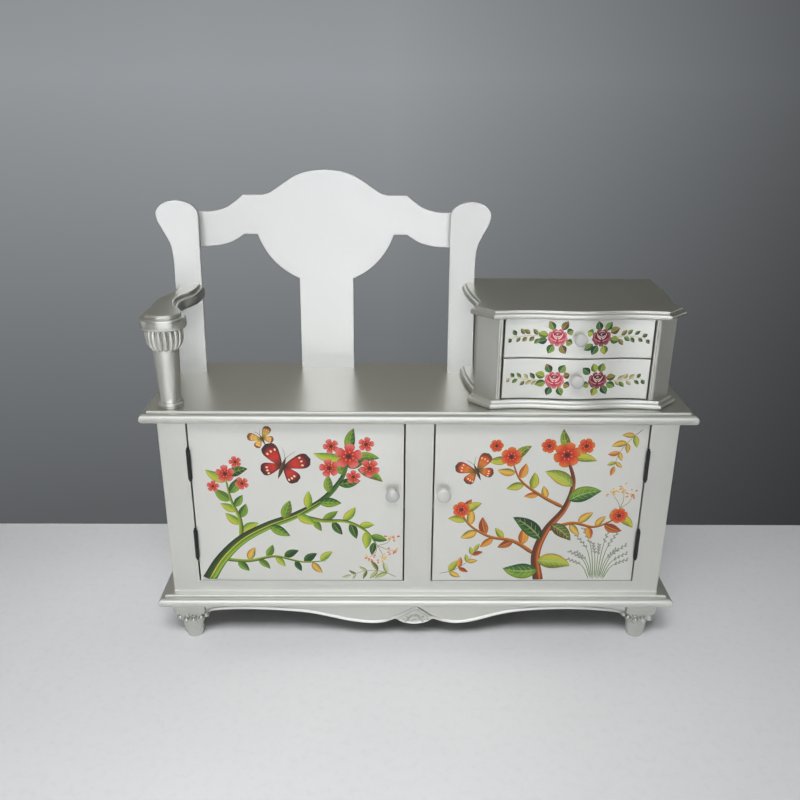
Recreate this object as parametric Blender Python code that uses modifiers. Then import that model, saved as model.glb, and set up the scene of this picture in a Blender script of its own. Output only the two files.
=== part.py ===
"""Hall bench with a shoe cabinet below the seat, a back and one arm rest,
and a small two-drawer chest standing on the right end of the seat.
Metres, +Z up, +X to the sitter's left as seen from the front, -Y is the front.
"""
import math

import bmesh
import bpy
from mathutils import Matrix, Vector

# ---------------------------------------------------------------- dimensions
GAP = 0.0003                 # clearance between pieces that touch

TOP_W, PLINTH_W = 0.994, 0.998   # bench top and plinth, bead to bead
FRONT_Y, REAR_Y = -0.1355, 0.1400
SEAT_Z = 0.4985              # top of the bench top
TOP_BEAD_Z = (0.4772, 0.4947)
PLINTH_BEAD_Z = (0.0913, 0.1083)
PLINTH_Z = 0.1136            # top of the plinth, floor of the cabinet
STEP_IN = 0.0115             # set-back of the upper step of both mouldings
BEAD_R = 0.0083

FACE_Y = -0.1114             # front of the face frame and the doors
BOARD = 0.018                # face frame and door thickness
STILE_OUT = 0.4714
DOOR_OUT = 0.4180
DOOR_GAP = 0.0025
STILE_C = {"left": 0.0244, "right": 0.0274}   # edges of the centre stile
DOOR_Z = (0.1392, 0.4747)
SIDE_T = 0.016
BACK_Y = (0.1303, 0.1363)
SHELF_Z = (0.285, 0.301)

HINGE_Z = (0.2225, 0.3895)   # hinge centres
HINGE_LEN = 0.059
KNUCKLE_R = 0.00375
HINGE_X = DOOR_OUT + DOOR_GAP / 2
HINGE_Y = FACE_Y - KNUCKLE_R - 0.00035

FOOT_X = 0.4448
FOOT_Y = (-0.087, 0.104)
FOOT_BLOCK = 0.062
APRON_Y = -0.1140

KNOB_X, KNOB_Z = 0.0475, 0.332

BACK_X = -0.179              # centre of the back
BACK_FRONT_Y = 0.1136        # front of the crest and splat at the seat
CREST_T = 0.020
POST_FRONT_Y = 0.0877        # front of a back post at its inner edge, at the seat
POST_T = 0.036
POST_IN = 0.2395             # inner edge of the posts from the centre of the back
TOE = math.radians(12.0)     # the posts' front faces turn in towards the sitter
RECLINE = math.radians(5.0)

ARM_Z = (0.6458, 0.6665, 0.6735)
ARM_POST = (-0.4465, -0.0950)

CHEST_X = 0.278
CHEST_BASE_Z = (SEAT_Z + GAP, 0.5090, 0.5135)
CHEST_TOP_Z = (0.6645, 0.6750, 0.6795)
CHEST_BACK_Y = 0.134
BEAD_FRONT_Y = -0.1125       # mean line of the chest's wavy front bead
WAVE, WAVE_LEN = 0.0035, 0.18
CHEST_STEP = 0.007
DRAWER_HALF = 0.1306
DRAWER_FRONT_Y = -0.0992
DRAWER_REAR_Y = -0.0835
DRAWER_Z = {"lower": (0.5147, 0.5893), "upper": (0.5917, 0.6632)}
DRAWER_BOX_Z = {"lower": 0.5142, "upper": 0.5942}
DRAWER_BOX_H = 0.058
DRAWER_KNOB_Z = {"lower": 0.5522, "upper": 0.6295}
DUST_Z = (0.5865, 0.5935)

# ---------------------------------------------------------------- scene setup
for old in list(bpy.data.objects):
    bpy.data.objects.remove(old, do_unlink=True)
scene = bpy.context.scene
PARTS = bpy.data.collections.new("shoe_storage_bench")
CUTTERS = bpy.data.collections.new("cutters")
scene.collection.children.link(PARTS)
scene.collection.children.link(CUTTERS)

PAINT = ((0.60, 0.60, 0.56, 1.0), 0.34, 0.45)
PANEL = ((0.74, 0.74, 0.71, 1.0), 0.38, 0.10)
WHITE = ((0.86, 0.87, 0.86, 1.0), 0.18, 0.0)
BLACK = ((0.012, 0.012, 0.013, 1.0), 0.42, 0.3)
STEEL = ((0.45, 0.45, 0.46, 1.0), 0.35, 1.0)
WOOD = ((0.62, 0.45, 0.28, 1.0), 0.60, 0.0)
BOARD_BACK = ((0.55, 0.47, 0.38, 1.0), 0.70, 0.0)


def finish(obj, look):
    """Give an object its own material."""
    colour, rough, metal = look
    m = bpy.data.materials.new("mat_" + obj.name)
    m.use_nodes = True
    shader = m.node_tree.nodes["Principled BSDF"]
    shader.inputs["Base Color"].default_value = colour
    shader.inputs["Roughness"].default_value = rough
    shader.inputs["Metallic"].default_value = metal
    obj.data.materials.clear()
    obj.data.materials.append(m)
    return obj


def from_bmesh(name, bm, look=None):
    mesh = bpy.data.meshes.new(name)
    bmesh.ops.recalc_face_normals(bm, faces=bm.faces)
    bm.to_mesh(mesh)
    bm.free()
    obj = bpy.data.objects.new(name, mesh)
    if look is None:
        CUTTERS.objects.link(obj)
        obj.hide_render = True
        obj.display_type = 'WIRE'
    else:
        PARTS.objects.link(obj)
        finish(obj, look)
    return obj


def smooth(obj, angle=35.0):
    obj.data.shade_smooth()
    obj.data.set_sharp_from_angle(angle=math.radians(angle))
    return obj


def cube_bm(lo, hi):
    bm = bmesh.new()
    bmesh.ops.create_cube(bm, size=1.0)
    size = [h - l for l, h in zip(lo, hi)]
    bmesh.ops.scale(bm, vec=size, verts=bm.verts)
    bmesh.ops.translate(bm, vec=[(l + h) / 2 for l, h in zip(lo, hi)], verts=bm.verts)
    return bm


def box(name, x, y, z, look=None):
    return from_bmesh(name, cube_bm((min(x), y[0], z[0]), (max(x), y[1], z[1])), look)


def outline_bm(loops, lo, hi, plane):
    """Flat outline (with holes) given as loops, extruded from lo to hi.
    plane XY extrudes along Z, XZ along Y, YZ along X."""
    cu = bpy.data.curves.new("outline", 'CURVE')
    cu.dimensions = '2D'
    cu.fill_mode = 'BOTH'
    cu.extrude = (hi - lo) / 2
    for pts in loops:
        sp = cu.splines.new('POLY')
        sp.points.add(len(pts) - 1)
        for p, (u, v) in zip(sp.points, pts):
            p.co = (u, v, 0.0, 1.0)
        sp.use_cyclic_u = True
    tmp = bpy.data.objects.new("outline", cu)
    scene.collection.objects.link(tmp)
    dg = bpy.context.evaluated_depsgraph_get()
    mesh = bpy.data.meshes.new_from_object(tmp.evaluated_get(dg))
    bm = bmesh.new()
    bm.from_mesh(mesh)
    bpy.data.objects.remove(tmp, do_unlink=True)
    bpy.data.curves.remove(cu)
    bpy.data.meshes.remove(mesh)
    bmesh.ops.remove_doubles(bm, verts=bm.verts, dist=1e-6)
    mid = (lo + hi) / 2
    if plane == 'XY':
        m = Matrix.Translation((0, 0, mid))
    elif plane == 'XZ':
        m = Matrix.Translation((0, mid, 0)) @ Matrix.Rotation(math.pi / 2, 4, 'X')
    else:
        turn = Matrix(((0, 0, 1, 0), (1, 0, 0, 0), (0, 1, 0, 0), (0, 0, 0, 1)))
        m = Matrix.Translation((mid, 0, 0)) @ turn
    bm.transform(m)
    return bm


def outline(name, pts, lo, hi, plane, look=None):
    return from_bmesh(name, outline_bm([pts], lo, hi, plane), look)


def turned(name, profile, look=None, steps=24, place=None):
    """Turned shape: profile of (radius, height), top to bottom, about +Z."""
    mesh = bpy.data.meshes.new(name)
    mesh.from_pydata([(r, 0.0, h) for r, h in profile],
                     [(i, i + 1) for i in range(len(profile) - 1)], [])
    obj = bpy.data.objects.new(name, mesh)
    mod = obj.modifiers.new("turn", 'SCREW')
    mod.axis = 'Z'
    mod.angle = 2 * math.pi
    mod.steps = steps
    mod.render_steps = steps
    mod.use_merge_vertices = True
    mod.merge_threshold = 0.00001
    mod.use_smooth_shade = True
    if place is not None:
        obj.matrix_world = place
    if look is None:
        CUTTERS.objects.link(obj)
        obj.hide_render = True
        obj.display_type = 'WIRE'
    else:
        PARTS.objects.link(obj)
        finish(obj, look)
    return obj


def rod(name, radius, lo, hi, axis, at, steps=16):
    """Plain round cutter along an axis, through the point at."""
    bm = bmesh.new()
    bmesh.ops.create_cone(bm, cap_ends=True, segments=steps, radius1=radius,
                          radius2=radius, depth=hi - lo)
    bmesh.ops.translate(bm, vec=(0, 0, (hi + lo) / 2), verts=bm.verts)
    if axis == 'Y':
        bm.transform(Matrix.Rotation(-math.pi / 2, 4, 'X'))
    bmesh.ops.translate(bm, vec=at, verts=bm.verts)
    return from_bmesh(name, bm)


def combine(obj, other, operation):
    mod = obj.modifiers.new(operation.lower(), 'BOOLEAN')
    mod.operation = operation
    mod.solver = 'EXACT'
    mod.object = other
    return obj


def spline(points, steps=5):
    """Points on a smooth open curve through the given ones (Catmull-Rom)."""
    p = [Vector(q) for q in points]
    p = [2 * p[0] - p[1]] + p + [2 * p[-1] - p[-2]]
    out = []
    for i in range(1, len(p) - 2):
        a, b, c, d = p[i - 1:i + 3]
        for k in range(steps):
            t = k / steps
            q = 0.5 * (2 * b + (c - a) * t + (2 * a - 5 * b + 4 * c - d) * t * t
                       + (3 * b - a - 3 * c + d) * t ** 3)
            out.append((q[0], q[1]))
    out.append((p[-2][0], p[-2][1]))
    return out


def offset(pts, dist):
    """Move a counter-clockwise closed outline outwards by dist, with mitres."""
    n = len(pts)
    out = []
    for i in range(n):
        a, b, c = Vector(pts[i - 1]), Vector(pts[i]), Vector(pts[(i + 1) % n])
        n1 = Vector((b - a).orthogonal()).normalized() * -1
        n2 = Vector((c - b).orthogonal()).normalized() * -1
        m = n1 + n2
        scale = dist / max(0.35, (1 + n1.dot(n2)) / 2) / 2
        out.append(tuple(b + m * scale))
    return out


def area(pts):
    return sum(pts[i - 1][0] * pts[i][1] - pts[i][0] * pts[i - 1][1]
               for i in range(len(pts))) / 2


def ccw(pts):
    return pts if area(pts) > 0 else pts[::-1]


# ---------------------------------------------------------------- moulded boards
def moulded_board(name, width, bead_z, top_z, look):
    """Board with a half-round bead on three sides and a stepped-in layer above."""
    hw = width / 2
    bm = cube_bm((-hw, FRONT_Y, bead_z[0]), (hw, REAR_Y, bead_z[1]))
    edges = [e for e in bm.edges
             if abs(e.verts[0].co.z - e.verts[1].co.z) < 1e-6
             and min(v.co.y for v in e.verts) < REAR_Y - 1e-6]
    bmesh.ops.bevel(bm, geom=edges, offset=BEAD_R, segments=6, profile=0.5,
                    affect='EDGES')
    obj = smooth(from_bmesh(name, bm, look))
    bm = cube_bm((-hw + STEP_IN, FRONT_Y + STEP_IN, bead_z[1] - 0.001),
                 (hw - STEP_IN, REAR_Y, top_z))
    edges = [e for e in bm.edges if min(v.co.z for v in e.verts) > top_z - 1e-6
             and min(v.co.y for v in e.verts) < REAR_Y - 1e-6]
    bmesh.ops.bevel(bm, geom=edges, offset=0.003, segments=3, profile=0.5,
                    affect='EDGES')
    return combine(obj, from_bmesh(name + "_step", bm), 'UNION')


moulded_board("bench_top", TOP_W, TOP_BEAD_Z, SEAT_Z, PAINT)
moulded_board("base_plinth", PLINTH_W, PLINTH_BEAD_Z, PLINTH_Z, PAINT)

# ---------------------------------------------------------------- cabinet
CAB_Z = (PLINTH_Z + GAP, TOP_BEAD_Z[0] - GAP)
INNER_Y = (FACE_Y + BOARD + GAP, BACK_Y[0] - GAP)
side_in = STILE_OUT - SIDE_T
for side, s in (("left", -1), ("right", 1)):
    box("side_panel_" + side, (s * STILE_OUT, s * side_in), INNER_Y, CAB_Z, PAINT)
    box("stile_" + side, (s * STILE_OUT, s * (DOOR_OUT + DOOR_GAP)),
        (FACE_Y, FACE_Y + BOARD), CAB_Z, PAINT)
    box("shelf_" + side, (s * (side_in - GAP), s * (0.008 + GAP)),
        (INNER_Y[0] + 0.006, INNER_Y[1]), SHELF_Z, PANEL)
box("stile_centre", (-STILE_C["left"], STILE_C["right"]), (FACE_Y, FACE_Y + BOARD),
    CAB_Z, PAINT)
box("centre_divider", (-0.008, 0.008), INNER_Y, CAB_Z, PANEL)
box("back_panel", (-STILE_OUT, STILE_OUT), BACK_Y, CAB_Z, BOARD_BACK)
rail = box("bottom_rail", (-DOOR_OUT - DOOR_GAP + GAP, DOOR_OUT + DOOR_GAP - GAP),
           (FACE_Y, FACE_Y + BOARD), (CAB_Z[0], DOOR_Z[0] - DOOR_GAP), PAINT)
combine(rail, box("rail_notch", (-STILE_C["left"] - GAP, STILE_C["right"] + GAP),
                  (FACE_Y + 0.009, FACE_Y + BOARD + 0.01), (0.10, 0.15)), 'DIFFERENCE')
centre = bpy.data.objects["stile_centre"]
combine(centre, box("stile_notch", (-0.1, 0.1), (FACE_Y - 0.01, FACE_Y + 0.009 + GAP),
                    (0.10, DOOR_Z[0] - DOOR_GAP + GAP)), 'DIFFERENCE')
for side, s in (("left", -1), ("right", 1)):
    box("catch_" + side, (s * 0.042, s * 0.082), (FACE_Y + BOARD + 0.0006, -0.080),
        (0.4560, TOP_BEAD_Z[0] - GAP), WHITE)

# ---------------------------------------------------------------- skirt and feet
APRON_HALF = FOOT_X - FOOT_BLOCK / 2 - GAP
APRON_TOP = PLINTH_BEAD_Z[0] - GAP


# lower edge of the front apron, left to right: a long wave to either side of a
# small lobe between two cusps
LEFT_CUSP, RIGHT_CUSP, LOBE_LOW = (-0.0404, 0.0522), (0.0331, 0.0522), 0.0411
LEFT_RUN = [(-APRON_HALF, 0.0660), (-0.4060, 0.0706), (-0.3940, 0.0730), (-0.3760, 0.0749),
            (-0.3500, 0.0758), (-0.3200, 0.0758), (-0.2891, 0.0747), (-0.2579, 0.0725),
            (-0.2266, 0.0696), (-0.1953, 0.0645), (-0.1639, 0.0566), (-0.1325, 0.0490),
            (-0.1009, 0.0440), (-0.0780, 0.0434), (-0.0600, 0.0462), LEFT_CUSP]
RIGHT_RUN = [RIGHT_CUSP, (0.0500, 0.0478), (0.0735, 0.0436), (0.0960, 0.0448),
             (0.1208, 0.0507), (0.1520, 0.0606), (0.1833, 0.0684), (0.2146, 0.0726),
             (0.2460, 0.0754), (0.2780, 0.0766), (0.3092, 0.0766), (0.3409, 0.0753),
             (0.3728, 0.0724), (0.3930, 0.0698), (0.4060, 0.0672), (APRON_HALF, 0.0640)]


def lobe(steps):
    """Round lobe between the cusps, left to right, without its ends."""
    mid = (LEFT_CUSP[0] + RIGHT_CUSP[0]) / 2
    half = RIGHT_CUSP[0] - mid
    rise = LEFT_CUSP[1] - LOBE_LOW
    radius = (half ** 2 + rise ** 2) / (2 * rise)
    xs = (half * (2 * k / steps - 1) for k in range(1, steps))
    return [(mid + x, LOBE_LOW + radius - math.sqrt(radius ** 2 - x * x)) for x in xs]


apron_pts = spline(LEFT_RUN, 3) + lobe(14) + spline(RIGHT_RUN, 3) + \
    [(APRON_HALF, APRON_TOP), (-APRON_HALF, APRON_TOP)]
outline("apron_front", ccw(apron_pts), APRON_Y, APRON_Y + 0.016, 'XZ', PAINT)

side_lo, side_hi = FOOT_Y[0] + FOOT_BLOCK / 2 + GAP, FOOT_Y[1] - FOOT_BLOCK / 2 - GAP
mid, half = (side_lo + side_hi) / 2, (side_hi - side_lo) / 2
arch = [(side_lo + 2 * half * k / 12,
         0.0700 - 0.010 * math.cos(math.pi * (k / 6 - 1)) * 0.5) for k in range(13)]
side_pts = arch + [(side_hi, APRON_TOP), (side_lo, APRON_TOP)]
for side, s in (("left", -1), ("right", 1)):
    xs = sorted((s * 0.4740, s * 0.4580))
    outline("apron_" + side, ccw(side_pts), xs[0], xs[1], 'YZ', PAINT)

foot_profile = [(0.0, 0.0700), (0.0292, 0.0700), (0.0288, 0.0640), (0.0280, 0.0580),
                (0.0274, 0.0520), (0.0268, 0.0460), (0.0245, 0.0400), (0.0214, 0.0345),
                (0.0207, 0.0280), (0.0196, 0.0180), (0.0176, 0.0070), (0.0156, 0.0),
                (0.0, 0.0)]
for row, y in (("front", FOOT_Y[0]), ("rear", FOOT_Y[1])):
    for side, s in (("left", -1), ("right", 1)):
        name = "foot_%s_%s" % (row, side)
        h = FOOT_BLOCK / 2
        block = box(name, (s * FOOT_X - h, s * FOOT_X + h), (y - h, y + h),
                    (0.0655, APRON_TOP), PAINT)
        leg = turned(name + "_leg", foot_profile, None, 20,
                     Matrix.Translation((s * FOOT_X, y, 0)))
        combine(block, leg, 'UNION')

# ---------------------------------------------------------------- doors, knobs, hinges
FACING = Matrix.Rotation(math.pi / 2, 4, 'X')      # turned axis points to the front


def knob_profile(r, out, board):
    """Domed knob with a foot ring, a shank through the board and a nut."""
    dome = [(r * math.sin(a), out - 0.42 * r * (1 - math.cos(a)))
            for a in (k * math.pi / 12 for k in range(7))]
    under = [(r * 0.97, out - 0.58 * r), (r * 0.80, out - 0.76 * r),
             (r * 0.46, out - 0.92 * r), (r * 0.42, 0.0035), (r * 0.58, 0.0022),
             (r * 0.58, GAP)]
    shank = [(0.0025, GAP), (0.0025, -board - GAP), (0.0055, -board - GAP),
             (0.0055, -board - 0.0030), (0.0, -board - 0.0030)]
    return dome + under + shank


doors = {}
for side, s in (("left", -1), ("right", 1)):
    inner = STILE_C[side] + DOOR_GAP
    door = box("door_" + side, (s * inner, s * DOOR_OUT), (FACE_Y, FACE_Y + BOARD),
               DOOR_Z, PANEL)
    combine(door, rod("door_bore_" + side, 0.0030, -0.03, 0.03, 'Y',
                      (s * KNOB_X, FACE_Y, KNOB_Z)), 'DIFFERENCE')
    knob = turned("door_knob_" + side, knob_profile(0.0130, 0.0215, BOARD), WHITE, 24,
                  Matrix.Translation((s * KNOB_X, FACE_Y, KNOB_Z)) @ FACING)
    doors[side] = [door, knob]


def knuckle_outline(sign):
    """Round knuckle with a short tab that runs back to its leaf; sign gives the
    side of the leaf."""
    near, far, back = 0.00015, 0.00105, 0.0047
    a0 = math.acos(near / KNUCKLE_R)
    a1 = math.acos(far / KNUCKLE_R)
    start, end = a0, a1 + 2 * math.pi
    ring = []
    n = 20
    for k in range(n + 1):
        a = start + (end - start) * k / n
        ring.append((sign * KNUCKLE_R * math.cos(a), KNUCKLE_R * math.sin(a)))
    return ring + [(sign * far, back), (sign * near, back)]


def hinge_leaf(name, cx, sign, zc, spans):
    """One leaf with its knuckles; spans are the knuckles' heights from the middle."""
    near, far = 0.00015, 0.00105
    z0, z1 = zc - HINGE_LEN / 2, zc + HINGE_LEN / 2
    leaf = box(name, (cx + sign * near, cx + sign * far),
               (HINGE_Y + 0.0043, HINGE_Y + 0.0195), (z0, z1), BLACK)
    hole = [(0.00175 * math.cos(a), 0.00175 * math.sin(a))
            for a in (2 * math.pi * k / 12 for k in range(12))]
    for i, (lo, hi) in enumerate(spans):
        bm = outline_bm([ccw(knuckle_outline(sign)), hole[::-1]], zc + lo, zc + hi, 'XY')
        bmesh.ops.translate(bm, vec=(cx, HINGE_Y, 0), verts=bm.verts)
        combine(leaf, from_bmesh("%s_knuckle_%d" % (name, i), bm), 'UNION')
    return leaf


pin_half = HINGE_LEN / 2
pin_profile = [(0.0, pin_half + 0.0052), (0.0017, pin_half + 0.0046),
               (0.0027, pin_half + 0.0028), (0.0024, pin_half + 0.0010),
               (0.0024, pin_half + GAP), (0.0015, pin_half + GAP),
               (0.0015, -pin_half - GAP), (0.0024, -pin_half - GAP),
               (0.0024, -pin_half - 0.0010), (0.0027, -pin_half - 0.0028),
               (0.0017, -pin_half - 0.0046), (0.0, -pin_half - 0.0052)]
third = HINGE_LEN / 6
for side, s in (("left", -1), ("right", 1)):
    for level, zc in zip(("lower", "upper"), HINGE_Z):
        tag = "hinge_%s_%s_" % (side, level)
        cx = s * HINGE_X
        hinge_leaf(tag + "frame_leaf", cx, s, zc,
                   [(-3 * third, -third - GAP), (third + GAP, 3 * third)])
        doors[side].append(hinge_leaf(tag + "door_leaf", cx, -s, zc,
                                      [(-third + GAP, third - GAP)]))
        turned(tag + "pin", pin_profile, BLACK, 12,
               Matrix.Translation((cx, HINGE_Y, zc)))

# ---------------------------------------------------------------- back, posts, arm
LEAN = (Matrix.Translation((0, BACK_FRONT_Y, SEAT_Z))
        @ Matrix.Rotation(-RECLINE, 4, 'X')
        @ Matrix.Translation((0, -BACK_FRONT_Y, 0)))


def crest_half():
    """Right half of the crest and splat, up the splat's edge and over to the top;
    distances from the centre line and heights along the board."""
    disc_c, disc_r, flat = 0.310, 0.1395, 0.266
    splat = 0.0530
    a0 = math.asin(splat / disc_r)
    a1 = math.acos((disc_c - flat) / disc_r)
    disc = [(disc_r * math.sin(a), disc_c - disc_r * math.cos(a))
            for a in (a0 + (a1 - a0) * k / 8 for k in range(9))]
    end = POST_IN - GAP
    under = [(0.158, flat)] + spline([(0.158, flat), (0.1675, 0.2597), (0.184, 0.2505),
                                      (0.2095, 0.2440), (end, 0.2412)], 3)[1:]
    over = spline([(end, 0.3087), (0.2183, 0.3092), (0.193, 0.3156), (0.172, 0.3289),
                   (0.158, 0.3405)], 3) + [(0.120, 0.3405)]
    arch_top = spline([(0.120, 0.3405), (0.106, 0.3450), (0.090, 0.3553),
                       (0.058, 0.3757), (0.030, 0.3850), (0.0, 0.3880)], 3)[1:]
    return [(splat + 0.0010, -0.02), (splat, 0.06)] + disc + under + over + arch_top


half_pts = crest_half()
crest_pts = [(BACK_X + x, s) for x, s in half_pts] + \
            [(BACK_X - x, s) for x, s in half_pts[:-1]][::-1]
bm = outline_bm([ccw(crest_pts)], BACK_FRONT_Y, BACK_FRONT_Y + CREST_T, 'XZ')
for v in bm.verts:           # the ends follow the slanted inner sides of the posts
    u = abs(v.co.x - BACK_X)
    reach = min(1.0, max(0.0, (u - 0.2150) / (POST_IN - GAP - 0.2150)))
    v.co.x += math.copysign(reach * (v.co.y - POST_FRONT_Y) * math.sin(TOE), v.co.x - BACK_X)
bm.transform(LEAN)
crest = from_bmesh("crest_splat", bm, PAINT)
seat_trim = box("seat_trim", (-0.6, 0.6), (-0.1, 0.3), (SEAT_Z - 0.06, SEAT_Z + GAP))
combine(crest, seat_trim, 'DIFFERENCE')

ear = [(POST_IN, -0.02), (POST_IN, 0.298)] + \
    spline([(POST_IN, 0.304), (0.2415, 0.3125), (0.2503, 0.3222), (0.265, 0.3288),
            (0.281, 0.3312), (0.296, 0.3285), (0.3072, 0.3225), (0.3140, 0.3145),
            (0.3163, 0.3065), (0.3130, 0.2910), (0.3010, 0.2670), (0.2930, 0.2484),
            (0.2896, 0.2238), (0.2890, 0.1900)], 3) + [(0.2905, 0.05), (0.2915, -0.02)]


def toed(bm, s):
    """Turn the front and rear faces of a back post in by the toe angle."""
    for v in bm.verts:
        v.co.y -= (abs(v.co.x - BACK_X) - POST_IN) * math.tan(TOE)
    bm.transform(LEAN)


for side, s in (("left", -1), ("right", 1)):
    pts = ccw([(BACK_X + s * x, h) for x, h in ear])
    bm = outline_bm([pts], POST_FRONT_Y, POST_FRONT_Y + POST_T, 'XZ')
    for v in bm.verts:       # the inner side is square to the toed front face
        u = abs(v.co.x - BACK_X) - POST_IN
        v.co.x += s * (v.co.y - POST_FRONT_Y) * math.sin(TOE) * max(0.0, 1 - u / 0.05)
    toed(bm, s)
    post = smooth(from_bmesh("back_post_" + side, bm, PAINT), 25)
    combine(post, seat_trim, 'DIFFERENCE')
    # room for the post in the pieces that meet it
    reach = 0.330 if s < 0 else 0.2923
    room = [(BACK_X + s * x, h) for x, h in ((0.20, -0.05), (reach, -0.05),
                                             (reach, 0.26), (0.20, 0.26))]
    bm = outline_bm([ccw(room)], POST_FRONT_Y - GAP, POST_FRONT_Y + 0.12, 'XZ')
    toed(bm, s)
    from_bmesh("post_room_" + side, bm)

arm_line = spline([(-0.4635, 0.125), (-0.4625, 0.098), (-0.4590, 0.070),
                   (-0.4575, 0.043), (-0.4650, 0.018), (-0.4725, -0.003),
                   (-0.4765, -0.030), (-0.4748, -0.055), (-0.4740, -0.075),
                   (-0.4772, -0.095), (-0.4757, -0.110), (-0.4660, -0.1225),
                   (-0.4460, -0.1285), (-0.4258, -0.1245), (-0.4143, -0.1120),
                   (-0.4127, -0.0970), (-0.4200, -0.0780), (-0.4320, -0.0600),
                   (-0.4400, -0.0350), (-0.4430, -0.0100), (-0.4390, 0.0130),
                   (-0.4290, 0.0350), (-0.4235, 0.0560), (-0.4222, 0.0800),
                   (-0.4222, 0.125)], 3)
arm_line = ccw(arm_line)
arm = smooth(outline("arm_rest", offset(arm_line, 0.0075), ARM_Z[0], ARM_Z[1], 'XY', PAINT))
combine(arm, outline("arm_step", arm_line, ARM_Z[1] - 0.001, ARM_Z[2], 'XY'), 'UNION')
combine(arm, bpy.data.objects["post_room_left"], 'DIFFERENCE')

post_profile = [(0.0, ARM_Z[0] - GAP), (0.0300, ARM_Z[0] - GAP), (0.0318, 0.6415),
                (0.0330, 0.6360), (0.0330, 0.6300), (0.0316, 0.6220), (0.0288, 0.6150),
                (0.0256, 0.6100), (0.0236, 0.6070), (0.0228, 0.6000), (0.0205, 0.5500),
                (0.0188, 0.5160), (0.0192, 0.5125), (0.0204, 0.5110), (0.0204, 0.5085),
                (0.0222, 0.5070), (0.0228, 0.5045), (0.0220, 0.5022), (0.0214, SEAT_Z + GAP),
                (0.0, SEAT_Z + GAP)]
turned("arm_post", post_profile, PAINT, 28,
       Matrix.Translation((ARM_POST[0], ARM_POST[1], 0)))

# ---------------------------------------------------------------- chest
def wave(dx):
    return -WAVE * math.cos(2 * math.pi * dx / WAVE_LEN)


def chest_outline():
    """Bead line of the chest's top and base: wavy front, canted corners that end
    in ears, curved sides and a straight back."""
    front = [(x, BEAD_FRONT_Y + wave(x))
             for x in (0.153 * (k / 14 - 1) for k in range(29))]
    side = [(0.1905, -0.0765)] + spline(
        [(0.1852, -0.0630), (0.1800, -0.0520), (0.1785, -0.0430), (0.1803, -0.0270),
         (0.1858, 0.0020), (0.1903, 0.0400), (0.1918, 0.0800), (0.1910, CHEST_BACK_Y)], 3)
    right = side
    left = [(-x, y) for x, y in side][::-1]
    return [(CHEST_X + x, y) for x, y in front + right + left]


bead_line = ccw(chest_outline())
step_line = offset(bead_line, -CHEST_STEP)
step_line = [(x, y) if y < CHEST_BACK_Y - CHEST_STEP - 0.001
             else (x, CHEST_BACK_Y - 0.001) for x, y in step_line]
for name, (z0, z1, z2) in (("chest_top", CHEST_TOP_Z), ("chest_base", CHEST_BASE_Z)):
    board = smooth(outline(name, bead_line, z0, z1, 'XY', PAINT))
    combine(board, outline(name + "_step", step_line, z1 - 0.001, z2, 'XY'), 'UNION')
    combine(board, bpy.data.objects["post_room_right"], 'DIFFERENCE')

CHEST_Z = (CHEST_BASE_Z[2] + GAP, CHEST_TOP_Z[0] - GAP)
corner = [(0.1335, -0.0985), (0.1415, -0.0992), (0.1765, -0.0706), (0.1780, -0.0662),
          (0.1728, -0.0540), (0.1668, -0.0430), (0.1650, -0.0300), (0.1650, 0.1245),
          (0.1530, 0.1245), (0.1530, -0.0400), (0.1335, -0.0620)]
for side, s in (("left", -1), ("right", 1)):
    pts = ccw([(CHEST_X + s * x, y) for x, y in corner])
    panel = outline("chest_side_" + side, pts, CHEST_Z[0], CHEST_Z[1], 'XY', PAINT)
    for level, z in (("lower", 0.520), ("upper", 0.599)):
        guide = box("guide_%s_%s" % (side, level),
                    (CHEST_X + s * 0.1300, CHEST_X + s * 0.1545), (-0.055, 0.112),
                    (z, z + 0.016))
        combine(panel, guide, 'UNION')
box("chest_back", (CHEST_X - 0.1527, CHEST_X + 0.1527), (0.1184, 0.1242), CHEST_Z,
    BOARD_BACK)
dust = [(0.1332, -0.0820), (0.1332, -0.0617), (0.1527, -0.0397), (0.1527, 0.1180)]
dust = dust + [(-x, y) for x, y in dust][::-1]
outline("chest_dust_panel", ccw([(CHEST_X + x, y) for x, y in dust]),
        DUST_Z[0], DUST_Z[1], 'XY', WOOD)

# ---------------------------------------------------------------- drawers
drawers = {}
for level in ("upper", "lower"):
    tag = "drawer_%s_" % level
    z0, z1 = DRAWER_Z[level]
    b0 = DRAWER_BOX_Z[level]
    b1 = b0 + DRAWER_BOX_H
    front = [(CHEST_X + x, DRAWER_FRONT_Y + wave(x))
             for x in (DRAWER_HALF * (k / 12 - 1) for k in range(25))]
    front += [(CHEST_X + DRAWER_HALF, DRAWER_REAR_Y), (CHEST_X - DRAWER_HALF, DRAWER_REAR_Y)]
    face = smooth(outline(tag + "front", ccw(front), z0, z1, 'XY', PANEL))
    face_y = DRAWER_FRONT_Y - WAVE
    kz = DRAWER_KNOB_Z[level]
    combine(face, rod(tag + "bore", 0.0030, -0.02, 0.04, 'Y', (CHEST_X, face_y, kz)),
            'DIFFERENCE')
    group = [face]
    for side, s in (("left", -1), ("right", 1)):
        group.append(box(tag + "side_" + side, (CHEST_X + s * 0.1200, CHEST_X + s * 0.1290),
                         (DRAWER_REAR_Y + GAP, 0.1120), (b0, b1), WOOD))
    group.append(box(tag + "back", (CHEST_X - 0.1197, CHEST_X + 0.1197), (0.1030, 0.1120),
                     (b0, b1), WOOD))
    group.append(box(tag + "bottom", (CHEST_X - 0.1197, CHEST_X + 0.1197),
                     (DRAWER_REAR_Y + GAP, 0.1027), (b0 + 0.0003, b0 + 0.0043), WOOD))
    group.append(turned(tag + "knob",
                        knob_profile(0.0115, 0.0185, DRAWER_REAR_Y - face_y), WHITE, 20,
                        Matrix.Translation((CHEST_X, face_y, kz)) @ FACING))
    drawers[level] = group

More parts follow.
